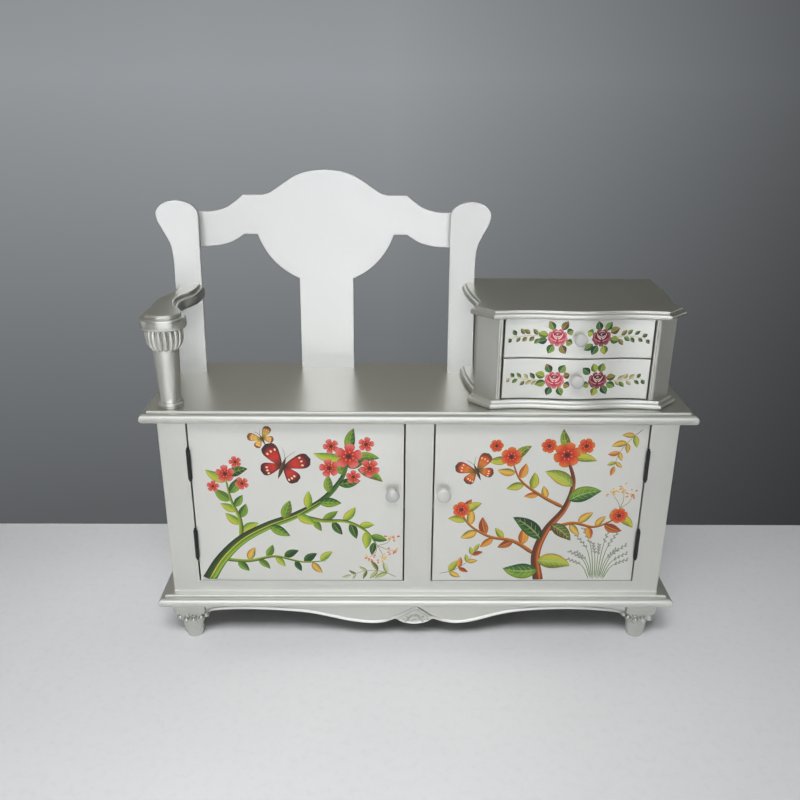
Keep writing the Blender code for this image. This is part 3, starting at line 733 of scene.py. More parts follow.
# ---------------------------------------------------------------- apron
LEFT_CUSP, RIGHT_CUSP, LOBE_LOW = (-0.0404, 0.0522), (0.0331, 0.0522), 0.0411
LEFT_RUN = [(-APRON_HALF, 0.0660), (-0.4060, 0.0706), (-0.3940, 0.0730), (-0.3760, 0.0749),
            (-0.3500, 0.0758), (-0.3200, 0.0758), (-0.2891, 0.0747), (-0.2579, 0.0725),
            (-0.2266, 0.0696), (-0.1953, 0.0645), (-0.1639, 0.0566), (-0.1325, 0.0490),
            (-0.1009, 0.0440), (-0.0780, 0.0434), (-0.0600, 0.0462), LEFT_CUSP]
RIGHT_RUN = [RIGHT_CUSP, (0.0500, 0.0478), (0.0735, 0.0436), (0.0960, 0.0448),
             (0.1208, 0.0507), (0.1520, 0.0606), (0.1833, 0.0684), (0.2146, 0.0726),
             (0.2460, 0.0754), (0.2780, 0.0766), (0.3092, 0.0766), (0.3409, 0.0753),
             (0.3728, 0.0724), (0.3930, 0.0698), (0.4060, 0.0672), (APRON_HALF, 0.0640)]
LOBE_X = (LEFT_CUSP[0] + RIGHT_CUSP[0]) / 2


def lobe(steps, lift=0.0):
    """Round lobe between the cusps, left to right, without its ends."""
    half = RIGHT_CUSP[0] - LOBE_X
    rise = LEFT_CUSP[1] - LOBE_LOW
    radius = (half ** 2 + rise ** 2) / (2 * rise)
    xs = (half * (2 * k / steps - 1) for k in range(1, steps))
    return [(LOBE_X + x, LOBE_LOW + radius - math.sqrt(radius ** 2 - x * x) + lift) for x in xs]


def on_apron(u, v, d):
    return Vector((u, APRON_Y + d, v))


pts = spline(LEFT_RUN, 6) + lobe(24) + spline(RIGHT_RUN, 6) + \
    [(APRON_HALF, APRON_TOP), (-APRON_HALF, APRON_TOP)]
board = piece("apron_board", slab(bmesh.new(), pts, 0.016, 0.0008, 0.0008, on_apron, 3), PEARL,
              "cabinet", "apron_front")
underside(board, (0, 1, 0), UNDER_SHADE)

# raised lip along the lower edge, which climbs into a gable over the centre
PEAK = (0.0010, 0.0800)
bm = bmesh.new()
halves = []
for s, run, cusp in ((-1, LEFT_RUN, LEFT_CUSP), (1, RIGHT_RUN[::-1], RIGHT_CUSP)):
    line = [(x, z + 0.0027) for x, z in spline(run[:-1], 6) if abs(x - cusp[0]) > 0.016]
    start = Vector((cusp[0] - s * 0.0030, cusp[1] + 0.0064))
    arm = [tuple(start.lerp(Vector(PEAK), q)) for q in (0.0, 0.25, 0.5, 0.75)]
    halves.append(line + spline([line[-1], (cusp[0] + s * 0.0070, cusp[1] + 0.0026)] + arm, 5)[1:])
    inner = flowing([(x - s * 0.0010, z - 0.0062) for x, z in arm[:1] + [PEAK]], 0.0015, 0)
    ridge(bm, [p for p in inner if abs(p[0] - cusp[0]) > 0.0080], 0.0020, 0.0014, on_apron, 8)
path = flowing(halves[0] + [PEAK] + halves[1][::-1], 0.0015, 7)
moulding(bm, path, LIP, on_apron,
         lambda t: 1.0 - 0.22 * math.exp(-((path[round(t * (len(path) - 1))][0] - PEAK[0]) / 0.034) ** 4))
moulding(bm, [LEFT_CUSP] + lobe(24, 0.0016) + [RIGHT_CUSP], LIP, on_apron,
         lambda t: 0.12 + 0.48 * min(1.0, 5 * min(t, 1 - t)))
piece("apron_lip", bm, PEARL, "cabinet", angle=60)


def petal_at(bm, x, z, angle, length, width, height):
    m = Matrix.Translation(on_apron(x, z, 0.0)) @ Matrix.Rotation(-angle, 4, 'Y') \
        @ Matrix.Diagonal((length / 2, height, width / 2, 1.0))
    blob(bm, m, 16, 10)


# small carved shell in the middle, with a leaf scroll to either side
bm = bmesh.new()
sx, sz = LOBE_X + 0.0006, 0.0492
for k in range(7):
    a = math.radians(18 + 24 * k)
    petal_at(bm, sx + 0.0068 * math.cos(a), sz + 0.0074 * math.sin(a), a, 0.0112, 0.0042, 0.0030)
for r, w in ((0.0032, 0.0018), (0.0118, 0.0016)):
    ridge(bm, [(sx + r * math.cos(a), sz + r * 1.08 * math.sin(a))
               for a in (math.radians(-6 + 192 * k / 20) for k in range(21))], w, 0.0020, on_apron, 6)
petal_at(bm, sx, sz - 0.0008, 0.0, 0.0062, 0.0046, 0.0028)
petal_at(bm, sx, 0.0452, 0.0, 0.0130, 0.0030, 0.0014)
for s in (-1, 1):
    for dx, z, turn, ln, wd in ((0.0165, 0.0500, 0.20, 0.0098, 0.0034),
                                (0.0240, 0.0507, 0.05, 0.0098, 0.0030),
                                (0.0148, 0.0463, -0.42, 0.0090, 0.0028),
                                (0.0160, 0.0560, 0.66, 0.0084, 0.0028)):
        petal_at(bm, sx + s * dx, z, turn if s > 0 else math.pi - turn, ln, wd, 0.0024)
piece("apron_shell", bm, PEARL, "cabinet", angle=60)

side_lo, side_hi = FOOT_Y[0] + FOOT_BLOCK / 2, FOOT_Y[1] - FOOT_BLOCK / 2
arch = [(side_lo + (side_hi - side_lo) * k / 24,
         0.0700 - 0.005 * math.cos(math.pi * (k / 12 - 1))) for k in range(25)]
for side, s in (("left", -1), ("right", 1)):
    def on_end(u, v, d, s=s):
        return Vector((s * (0.4740 - d), u, v))
    bm = slab(bmesh.new(), arch + [(side_hi, APRON_TOP), (side_lo, APRON_TOP)], 0.016, 0.0010,
              0.0008, on_end, 3)
    moulding(bm, [(y, z + 0.0027) for y, z in arch], LIP, on_end)
    board = piece("apron_end_" + side, bm, PEARL, "cabinet", "apron_" + side)
    underside(board, (-s, 0, 0), UNDER_SHADE)

# ---------------------------------------------------------------- feet
STATIONS = [(APRON_TOP, 0.0310, 30), (0.0800, 0.0309, 30), (0.0740, 0.0306, 26), (0.0705, 0.0302, 20),
            (0.0680, 0.0296, 15), (0.0655, 0.0288, 11), (0.0630, 0.0279, 8.5), (0.0605, 0.0270, 6.8),
            (0.0580, 0.0261, 5.4), (0.0555, 0.0252, 4.5), (0.0530, 0.0244, 3.8), (0.0500, 0.0236, 3.3),
            (0.0465, 0.0228, 2.8), (0.0430, 0.0221, 2.4), (0.0400, 0.0215, 2.15), (0.0370, 0.0212, 2),
            (0.0300, 0.0208, 2), (0.0215, 0.0199, 2), (0.0084, 0.0177, 2), (0.0020, 0.0160, 2),
            (0.0006, 0.0157, 2), (0.0, 0.0150, 2)]


def squircle(a, half, p):
    return half / (abs(math.cos(a)) ** p + abs(math.sin(a)) ** p) ** (1 / p)


def foot(bm, x, y):
    skin(bm, [[(x + squircle(a, half, p) * math.cos(a), y + squircle(a, half, p) * math.sin(a), z)
               for a in (2 * math.pi * k / 72 for k in range(72))] for z, half, p in STATIONS])
    for k in range(12):                             # collar of beads in scalloped rims
        a = math.radians(30 * k - 108)
        turn = Matrix.Translation((x, y, 0)) @ Matrix.Rotation(a, 4, 'Z')
        r = squircle(a, 0.0240, 2.9)
        rise = 0.0474 + 0.0030 * (1 - abs(math.cos(2 * a)))      # a little higher at the corners
        blob(bm, turn @ Matrix.Translation((r + 0.0026, 0, rise + 0.0006))
             @ Matrix.Diagonal((0.0062, 0.0059, 0.0063, 1.0)), 20, 14)
        rim = []
        for j in range(15):
            q = math.radians(-28 + 236 * j / 14)
            z = rise + 0.0003 + 0.0084 * math.sin(q)
            b = a + 0.0067 * math.cos(q) / r
            out = squircle(b, 0.0226 + (z - 0.0455) * 0.23, 3.3) + 0.0008
            rim.append((x + out * math.cos(b), y + out * math.sin(b), z))
        tube(bm, rim, 0.0012)
        drop = squircle(a, 0.0216, 2.2)
        blob(bm, turn @ Matrix.Translation((drop - 0.0002, 0, rise - 0.0084))
             @ Matrix.Rotation(-0.10, 4, 'Y') @ Matrix.Diagonal((0.0013, 0.0022, 0.0040, 1.0)), 12, 8)
    return bm


for row, y in (("front", FOOT_Y[0]), ("rear", FOOT_Y[1])):
    for side, s in (("left", -1), ("right", 1)):
        node = "foot_%s_%s" % (row, side)
        piece(node + "_carved", foot(bmesh.new(), s * FOOT_X, y), PEARL_FOOT_SHADED, "cabinet", node)


# ---------------------------------------------------------------- back and posts
def crest_half():
    """Right half of the crest and splat, up the splat's edge and over to the top."""
    disc_c, disc_r, flat = 0.310, 0.1395, 0.266
    splat = 0.0530
    a0 = math.asin(splat / disc_r)
    a1 = math.acos((disc_c - flat) / disc_r)
    disc = [(disc_r * math.sin(a), disc_c - disc_r * math.cos(a))
            for a in (a0 + (a1 - a0) * k / 24 for k in range(25))]
    end = POST_IN
    under = [(0.158, flat)] + spline([(0.158, flat), (0.1675, 0.2597), (0.184, 0.2505),
                                      (0.2095, 0.2440), (end, 0.2412)], 8)[1:]
    over = spline([(end, 0.3087), (0.2183, 0.3092), (0.193, 0.3156), (0.172, 0.3289),
                   (0.158, 0.3405)], 8) + [(0.120, 0.3405)]
    top = spline([(0.120, 0.3405), (0.106, 0.3450), (0.090, 0.3553), (0.058, 0.3757),
                  (0.030, 0.3850), (0.0, 0.3880)], 8)[1:]
    return [(splat + 0.0002, 0.0), (splat, 0.06)] + disc + under + over + top


def on_back(u, v, d):
    """The board's ends follow the slanted inner sides of the posts."""
    y = BACK_FRONT_Y + d
    reach = min(1.0, max(0.0, (abs(u - BACK_X) - 0.2150) / (POST_IN - 0.2150)))
    u += math.copysign(reach * (y - POST_FRONT_Y) * math.sin(TOE), u - BACK_X)
    return LEAN @ Vector((u, y, v))


half = crest_half()
pts = [(BACK_X + x, v) for x, v in half] + [(BACK_X - x, v) for x, v in half[:-1]][::-1]
seat_cut = bmesh.new()
bmesh.ops.create_cube(seat_cut, size=1.0)
for v in seat_cut.verts:
    v.co = Vector((v.co.x * 2.0, v.co.y * 1.0, SEAT_Z - 0.05 + v.co.z * 0.1))


def lowered(points):
    """Run the foot of an outline a little into the seat, to be trimmed flush."""
    return [(x, -0.012 if v < 0.001 else v) for x, v in points]


crest = cut(slab(bmesh.new(), lowered(pts), CREST_T, 0.0013, 0.0013, on_back), seat_cut.copy())
piece("crest_board", crest, PEARL_BACK_LIT, "cabinet", "crest_splat")

EAR = [(POST_IN, 0.0), (POST_IN, 0.298)] + \
    spline([(POST_IN, 0.304), (0.2415, 0.3125), (0.2503, 0.3222), (0.265, 0.3288),
            (0.281, 0.3312), (0.296, 0.3285), (0.3072, 0.3225), (0.3140, 0.3145),
            (0.3163, 0.3065), (0.3130, 0.2910), (0.3010, 0.2670), (0.2930, 0.2484),
            (0.2896, 0.2238), (0.2890, 0.1900)], 8) + [(0.2905, 0.05), (0.2913, 0.0)]


def on_post(s, slant=1.0):
    def place(u, v, d):
        over = abs(u - BACK_X) - POST_IN
        y = POST_FRONT_Y + d - over * math.tan(TOE)
        u += slant * s * d * math.sin(TOE) * max(0.0, 1 - over / 0.05)
        return LEAN @ Vector((u, y, v))
    return place


rooms = {}
for side, s in (("left", -1), ("right", 1)):
    pts = [(BACK_X + s * x, v) for x, v in EAR]
    bm = cut(slab(bmesh.new(), lowered(pts), POST_T, 0.0016, 0.0016, on_post(s)), seat_cut.copy())
    piece("back_post_%s_board" % side, bm, PEARL_BACK_LIT, "cabinet", "back_post_" + side)
    reach = 0.330 if s < 0 else 0.2920
    room = ccw([(BACK_X + s * x, v) for x, v in ((0.20, -0.05), (reach, -0.05), (reach, 0.26),
                                                 (0.20, 0.26))])
    rooms[side] = bmesh.new()
    place = on_post(s, 0.0)
    skin(rooms[side], [[place(u, v, d) for u, v in room] for d in (0.0, 0.12)])
seat_cut.free()

# ---------------------------------------------------------------- arm rest and its post
ARM_LINE = ccw(spline([(-0.4635, 0.125), (-0.4625, 0.098), (-0.4590, 0.070), (-0.4575, 0.043),
                       (-0.4650, 0.018), (-0.4725, -0.003), (-0.4765, -0.030), (-0.4748, -0.055),
                       (-0.4740, -0.075), (-0.4772, -0.095), (-0.4757, -0.110), (-0.4660, -0.1225),
                       (-0.4460, -0.1285), (-0.4258, -0.1245), (-0.4143, -0.1120),
                       (-0.4127, -0.0970), (-0.4200, -0.0780), (-0.4320, -0.0600),
                       (-0.4400, -0.0350), (-0.4430, -0.0100), (-0.4390, 0.0130),
                       (-0.4290, 0.0350), (-0.4235, 0.0560), (-0.4222, 0.0800),
                       (-0.4222, 0.125)], 8))


def arm():
    z0, z1, z2 = ARM_Z
    zm, zr = (z0 + z1) / 2, (z1 - z0) / 2
    r = 0.0062
    prof = [(0.00745 - r + r * math.cos(a) ** 0.62,
             zm + math.copysign(zr * abs(math.sin(a)) ** 0.62, a))
            for a in (math.radians(q) for q in range(-89, 90, 8))]
    prof += [(0.0005, z1 - 0.0004), (-0.0004, z1), (-0.0002, z1 + 0.0010)]
    prof += [(-0.0034 + 0.0034 * math.cos(a), z2 - 0.0034 + 0.0034 * math.sin(a))
             for a in (math.pi / 2 * k / 5 for k in range(6))]
    bm = bmesh.new()
    skin(bm, [[(u, v, z) for u, v in offset(ARM_LINE, d)] for d, z in prof])
    return cut(bm, rooms["left"])


piece("arm_rest_board", arm(), PEARL_TOP_SHADED, "cabinet", "arm_rest")

LOBES = 17


def gadroon(a, r, h):
    """Swelling lobes round the capital, with rounded lower ends."""
    if h < 0.6045:
        return r
    x = (a * LOBES / (2 * math.pi)) % 1.0 * 2 - 1
    crest_r = math.sqrt(max(0.0, 1 - 0.94 * x * x))
    t = min(1.0, max(0.0, (h - 0.6056 - 0.0062 * x * x) / 0.0052))
    grow = math.sqrt(1 - (1 - t) ** 2)
    top = min(1.0, max(0.0, (ARM_Z[0] - h) / 0.0035))
    col = 0.0230
    return col + (r - col) * grow - 0.0066 * (1 - crest_r) * grow * (0.35 + 0.65 * top)


cap = spline([(0.0230, 0.6030), (0.0243, 0.6060), (0.0272, 0.6100), (0.0304, 0.6165),
              (0.0325, 0.6250), (0.0331, 0.6330), (0.0325, 0.6400), (0.0308, ARM_Z[0])], 8)
shaft = [(0.0, SEAT_Z), (0.0212, SEAT_Z), (0.0216, SEAT_Z + 0.0004), (0.0218, 0.5012)]
shaft += arc(0.0202, 0.5042, 0.0027, 0.0029, -68, 82, 9)
shaft += [(0.0204, 0.5075)] + arc(0.0194, 0.5098, 0.0013, 0.0016, -70, 80, 6)
shaft += [(0.0191, 0.5122), (0.0188, 0.5140), (0.0187, 0.5170), (0.0196, 0.5330),
          (0.0206, 0.5500), (0.0216, 0.5700), (0.0226, 0.5900), (0.0229, 0.5990)]
piece("arm_post_turned", lathe(bmesh.new(), shaft + cap + [(0.0, ARM_Z[0])], LOBES * 14,
                               Matrix.Translation((ARM_POST[0], ARM_POST[1], 0)), gadroon),
      PEARL, "cabinet", "arm_post", angle=60)


# ---------------------------------------------------------------- chest
def wave(dx):
    return -WAVE * math.cos(2 * math.pi * dx / WAVE_LEN)


def chest_line():
    front = [(x, BEAD_FRONT_Y + wave(x)) for x in (0.153 * (k / 28 - 1) for k in range(57))]
    side = [(0.1905, -0.0765)] + spline(
        [(0.1852, -0.0630), (0.1800, -0.0520), (0.1785, -0.0430), (0.1803, -0.0270),
         (0.1858, 0.0020), (0.1903, 0.0400), (0.1918, 0.0800), (0.1910, CHEST_BACK_Y)], 6)
    return [(CHEST_X + x, y) for x, y in front + side + [(-x, y) for x, y in side][::-1]]


CHEST_LINE = ccw(chest_line())


def chest_board(z0, z1, z2):
    zm, zr = (z0 + z1) / 2, (z1 - z0) / 2
    prof = [(-0.0046 + 0.0046 * math.cos(math.radians(a)), zm + zr * math.sin(math.radians(a)))
            for a in range(-90, 91, 15)]
    prof += [(-0.0058, z1), (-0.0066, z1 + 0.0007), (-0.0069, z1 + 0.0016)]
    prof += [(-0.0087 + 0.0018 * math.cos(a), z2 - 0.0018 + 0.0018 * math.sin(a))
             for a in (math.pi / 2 * k / 4 for k in range(5))]
    loops = []
    for d, z in prof:
        line = offset(CHEST_LINE, d)
        loops.append([(x, CHEST_BACK_Y if CHEST_LINE[i][1] > CHEST_BACK_Y - 1e-5 else y, z)
                      for i, (x, y) in enumerate(line)])
    bm = bmesh.new()
    skin(bm, loops)
    return cut(bm, rooms["right"].copy())


piece("chest_top_board", chest_board(*CHEST_TOP_Z), PEARL_TOP_SHADED, "cabinet", "chest_top")
piece("chest_base_board", chest_board(*CHEST_BASE_Z), PEARL, "cabinet", "chest_base")
rooms["right"].free()

CHEST_Z = (CHEST_BASE_Z[2], CHEST_TOP_Z[0])


def reed(cx, cy, r, n=6):
    """Half-round reed on the front strip, from left to right."""
    return [(cx - r * math.cos(a), cy - r * 0.9 * math.sin(a))
            for a in (math.pi * k / n for k in range(n + 1))]


corner = [(0.1335, -0.0620), (0.1335, -0.0966)] + reed(0.1357, -0.0970, 0.0018) + \
    reed(0.1396, -0.0972, 0.0017) + [(0.1420, -0.0986)] + \
    [(0.1755, -0.0714), (0.1773, -0.0694), (0.1780, -0.0662)] + \
    spline([(0.1780, -0.0662), (0.1728, -0.0540), (0.1672, -0.0430), (0.1650, -0.0300)], 5)[1:] + \
    [(0.1650, 0.1245), (0.1530, 0.1245), (0.1530, -0.0400)]
for side, s in (("left", -1), ("right", 1)):
    pts = ccw([(CHEST_X + s * x, y) for x, y in corner])
    bm = bmesh.new()
    skin(bm, [[(x, y, z) for x, y in pts] for z in CHEST_Z])
    for z in (0.520, 0.599):
        xs = sorted((CHEST_X + s * 0.1300, CHEST_X + s * 0.1532))
        box(bm, (xs[0], -0.055, z), (xs[1], 0.112, z + 0.016), 0.001)
    piece("chest_side_%s_panel" % side, bm, PEARL, "cabinet", "chest_side_" + side, angle=30)


# ---------------------------------------------------------------- drawer fronts
def drawer_front(z0, z1):
    """Wavy front with softly rounded edges, flat behind."""
    r = 0.0016
    ease = [r * (1 - math.cos(math.pi / 2 * k / 5)) for k in range(6)]
    xs = [-DRAWER_HALF + e for e in ease] + \
        [-DRAWER_HALF + r + (DRAWER_HALF * 2 - 2 * r) * k / 64 for k in range(1, 64)] + \
        [DRAWER_HALF - e for e in ease[::-1]]
    zs = [z0 + e for e in ease] + [z0 + r + (z1 - z0 - 2 * r) * k / 4 for k in range(1, 4)] + \
        [z1 - e for e in ease[::-1]]

    def back_off(x, z):
        near = min(DRAWER_HALF - abs(x), z - z0, z1 - z)
        q = max(0.0, 1 - near / r)
        return r * (1 - math.sqrt(max(0.0, 1 - q * q)))

    bm = bmesh.new()
    grid = [[bm.verts.new((CHEST_X + x, DRAWER_FRONT_Y + wave(x) + back_off(x, z), z)) for x in xs]
            for z in zs]
    for a, b in zip(grid, grid[1:]):
        for i in range(len(xs) - 1):
            bm.faces.new((a[i], a[i + 1], b[i + 1], b[i]))
    rim = grid[0] + [row[-1] for row in grid[1:]] + grid[-1][-2::-1] + \
        [row[0] for row in grid[-2:0:-1]]
    back = [bm.verts.new((v.co.x, DRAWER_REAR_Y, v.co.z)) for v in rim]
    for i in range(len(rim)):
        j = (i + 1) % len(rim)
        bm.faces.new((rim[i], rim[j], back[j], back[i]))
    bm.faces.new(back)
    return bm


for level in ("upper", "lower"):
    body = "drawer_" + level
    piece(body + "_face", drawer_front(*DRAWER_Z[level]), PANEL, body, body + "_front",
          slot="cream_panel")
    at = Matrix.Translation((CHEST_X, DRAWER_FRONT_Y - WAVE, DRAWER_KNOB_Z[level]))
    piece(body + "_knob_turned", lathe(bmesh.new(), knob_form(0.0115, 0.0185), 56, at @ FACING),
          KNOB, body, body + "_knob", slot="white_knob", angle=50)
    bm = bmesh.new()
    screw_head(bm, Matrix.Translation((CHEST_X, DRAWER_REAR_Y, DRAWER_KNOB_Z[level]))
               @ Matrix.Rotation(-math.pi / 2, 4, 'X'))
    piece(body + "_knob_screw", bm, STEEL, body, slot="black_hinge")

# ---------------------------------------------------------------- boards kept from the CAD
KEPT = {"back_panel": FIBRE, "chest_back": FIBRE, "chest_dust_panel": WOOD_Y,
        "catch_left": PLASTIC, "catch_right": PLASTIC, "centre_divider": INNER,
        "shelf_left": INNER, "shelf_right": INNER, "side_panel_left": PEARL,
        "side_panel_right": PEARL}
for level in ("upper", "lower"):
    for part, mat in (("side_left", WOOD_Y), ("side_right", WOOD_Y), ("back", WOOD_X),
                      ("bottom", WOOD_Y)):
        KEPT["drawer_%s_%s" % (level, part)] = mat
for node, mat in KEPT.items():
    obj = NODES[node]
    for entry in obj.material_slots:
        entry.material = mat
    soft = obj.modifiers.new("edges", 'BEVEL')
    soft.width = 0.0006
    soft.segments = 2
    soft.limit_method = 'ANGLE'
    soft.angle_limit = math.radians(40)


# ---------------------------------------------------------------- painted decoration
def mixed(a, b, t):
    t = min(1.0, max(0.0, t))
    return tuple(p + (q - p) * t for p, q in zip(a, b))


DARK = lin(28, 66, 30)
GREEN = lin(74, 128, 44)
LIME = lin(166, 194, 52)
PALE = lin(188, 200, 130)
OLIVE = lin(104, 100, 40)
BROWN = lin(84, 52, 26)
INK = lin(30, 34, 22)
ORANGE = lin(222, 132, 40)
YELLOW = lin(232, 196, 84)
RED = lin(214, 52, 36)
RUST = lin(152, 62, 34)
CRIMSON = lin(132, 20, 36)
PINK = lin(222, 92, 104)
BLUSH = lin(246, 200, 196)
CREAM = lin(246, 240, 226)
GREY = lin(128, 128, 122)


class Painting:
    """Brush strokes as thin raised forms. to_space maps flat coordinates in metres
    and a height above the board to space."""

    def __init__(self, to_space, seed, limits):
        self.to_space = to_space
        self.limits = limits                           # least and greatest x, then z
        self.rng = random.Random(seed)
        self.verts, self.faces, self.cols = [], [], []
        self.top = {}

    def form(self, rows, crown=0.000006):
        """rows: list of rows of (point, colour, across); lies on the forms it overlaps and
        is closed below the surface."""
        base = len(self.verts)
        n, m = len(rows), len(rows[0])
        x0, x1, z0, z1 = self.limits
        rows = [[((min(max(x, x0), x1), min(max(z, z0), z1)), col, s) for (x, z), col, s in row]
                for row in rows]
        cells = {(int(x / 0.003), int(z / 0.003)) for row in rows for (x, z), _, _ in row}
        level = max([self.top.get(c, 0.00006) for c in cells]) + 0.000004
        for c in cells:
            self.top[c] = level + crown
        for row in rows:
            for (x, z), col, s in row:
                self.verts.append(self.to_space(x, z, level + crown * (1 - s * s)))
                self.cols.append(col)
        for i in range(n - 1):
            for j in range(m - 1):
                a = base + i * m + j
                self.faces.append((a, a + 1, a + m + 1, a + m))
        rim = [(0, j) for j in range(m)] + [(i, m - 1) for i in range(1, n)] + \
              [(n - 1, j) for j in range(m - 2, -1, -1)] + [(i, 0) for i in range(n - 2, 0, -1)]
        low = len(self.verts)
        for i, j in rim:
            (x, z), col, s = rows[i][j]
            self.verts.append(self.to_space(x, z, -0.00020))
            self.cols.append(col)
        k = len(rim)
        for t in range(k):
            i, j = rim[t]
            i2, j2 = rim[(t + 1) % k]
            self.faces.append((base + i * m + j, base + i2 * m + j2, low + (t + 1) % k, low + t))
        self.faces.append(tuple(low + t for t in range(k)))

    def band(self, line, width, colour, across=6):
        """Stroke along a line; width(t) in metres and colour(t, s) set its look."""
        rows = []
        last = len(line) - 1
        for i, p in enumerate(line):
            a, b = Vector(line[max(0, i - 1)]), Vector(line[min(last, i + 1)])
            d = (b - a).normalized()
            t = i / last
            w = max(0.00012, width(t) / 2)
            rows.append([((p[0] - d.y * w * s, p[1] + d.x * w * s), colour(t, s), s)
                         for s in (2 * k / across - 1 for k in range(across + 1))])
        self.form(rows)

    def curve(self, p0, p1, bend, n):
        a, b = Vector(p0), Vector(p1)
        side = Vector((-(b - a).y, (b - a).x)) * bend
        mid = (a + b) / 2 + side
        return [tuple(a * (1 - t) ** 2 + mid * 2 * t * (1 - t) + b * t * t)
                for t in (k / n for k in range(n + 1))]

    def leaf(self, p0, p1, width, shades, bend=0.12, side=1, vein=None, tip=None, blunt=0.8,
             veins=0):
        dark, mid, light = shades
        phase = self.rng.uniform(0, 50)
        line = self.curve(p0, p1, bend, 14)

        def colour(t, s):
            streak = 0.16 * noise.noise(Vector((t * 3.0, s * 5.0, phase)))
            k = 0.5 + 0.46 * s * side + streak
            col = mixed(dark, mid, k * 2) if k < 0.5 else mixed(mid, light, k * 2 - 1)
            col = mixed(col, dark, 0.75 * max(0.0, abs(s) - 0.66) / 0.34)
            col = mixed(col, dark, 0.5 * max(0.0, 0.22 - t) / 0.22)
            if tip:
                col = mixed(col, tip, max(0.0, (t - 0.62) / 0.38))
            if vein and abs(s) < 0.14 and 0.05 < t < 0.92:
                col = mixed(col, vein, 0.75)
            return col

        self.band(line, lambda t: width * math.sin(math.pi * t ** blunt) ** 0.85, colour, 14)
        for k in range(veins):
            for sgn in (-1, 1):
                t = 0.18 + 0.62 * k / max(1, veins - 1)
                i = int(t * 14)
                p, q = Vector(line[i]), Vector(line[min(14, i + 2)])
                d = (q - p).normalized()
                out = Vector((-d.y, d.x)) * sgn
                reach = width * 0.36 * math.sin(math.pi * t ** blunt)
                self.stroke([tuple(p), tuple(p + out * reach * 0.5 + d * reach * 0.35),
                             tuple(p + out * reach + d * reach * 0.9)], 0.0007, 0.0003,
                            vein or light, vein or light)

    def stroke(self, pts, w0, w1, dark, light, side=1, steps=6, round_end=True):
        """Twig or line that tapers from w0 to w1, shaded across."""
        line = spline(pts, steps)

        def colour(t, s):
            k = 0.5 + 0.5 * s * side + 0.18 * noise.noise(Vector((t * 9.0, s * 2.0, w0 * 900)))
            return mixed(dark, light, k)

        def width(t):
            w = w0 + (w1 - w0) * t
            if round_end:
                w *= min(1.0, 0.35 + 9 * t, 0.35 + 9 * (1 - t))
            return w
        self.band(line, width, colour, 6)

    def dab(self, c, rx, rz, turn, inner, outer):
        """Small oval touch of paint."""
        ct, st = math.cos(turn), math.sin(turn)
        line = [(c[0] + rx * (2 * k / 8 - 1) * ct, c[1] + rx * (2 * k / 8 - 1) * st)
                for k in range(9)]
        self.band(line, lambda t: 2 * rz * math.sqrt(max(0.0, 1 - (2 * t - 1) ** 2)),
                  lambda t, s: mixed(inner, outer, 0.5 * abs(s) + 0.5 * abs(2 * t - 1)), 4)

    def petal(self, c, angle, length, width, root, body, edge, notch=0.0):
        """Broad rounded petal that grows from c."""
        d = Vector((math.cos(angle), math.sin(angle)))
        line = [tuple(Vector(c) + d * length * k / 12) for k in range(13)]
        phase = self.rng.uniform(0, 50)

        def width_at(t):
            return width * (t ** 0.62) * math.sqrt(max(0.0, 1 - max(0.0, (t - 0.55) / 0.45) ** 2.2))

        def colour(t, s):
            k = t + 0.16 * noise.noise(Vector((t * 4, s * 4, phase)))
            col = mixed(root, body, k * 2.2) if k < 0.45 else mixed(body, edge, (k - 0.45) * 1.8)
            return mixed(col, root, 0.35 * max(0.0, abs(s) - 0.75) / 0.25)
        self.band(line, width_at, colour, 8)

    def blossom(self, c, r, root, body, edge, heart, turn=0.0, n=5):
        for k in range(n):
            self.petal(c, turn + 2 * math.pi * k / n, r, r * 0.98, root, body, edge)
        self.dab(c, r * 0.20, r * 0.20, 0, heart, root)
        for k in range(7):
            a = turn + 2 * math.pi * (k + 0.3) / 7
            self.dab((c[0] + r * 0.34 * math.cos(a), c[1] + r * 0.34 * math.sin(a)), r * 0.05,
                     r * 0.05, 0, YELLOW, ORANGE)

    def arc_stroke(self, c, rx, rz, a0, a1, w, col0, col1, n=14):
        line = [(c[0] + rx * math.cos(a), c[1] + rz * math.sin(a))
                for a in (math.radians(a0 + (a1 - a0) * k / n) for k in range(n + 1))]
        self.band(line, lambda t: w * math.sin(math.pi * (0.04 + 0.92 * t)) ** 0.7,
                  lambda t, s: mixed(col0, col1, 0.5 + 0.5 * s), 6)

    def rose(self, c, r, deep, body, light):
        """Round decorator's rose: scalloped outer petals, a dark bud with a small swirl
        and white highlights that fall from it to either side."""
        x, z = c

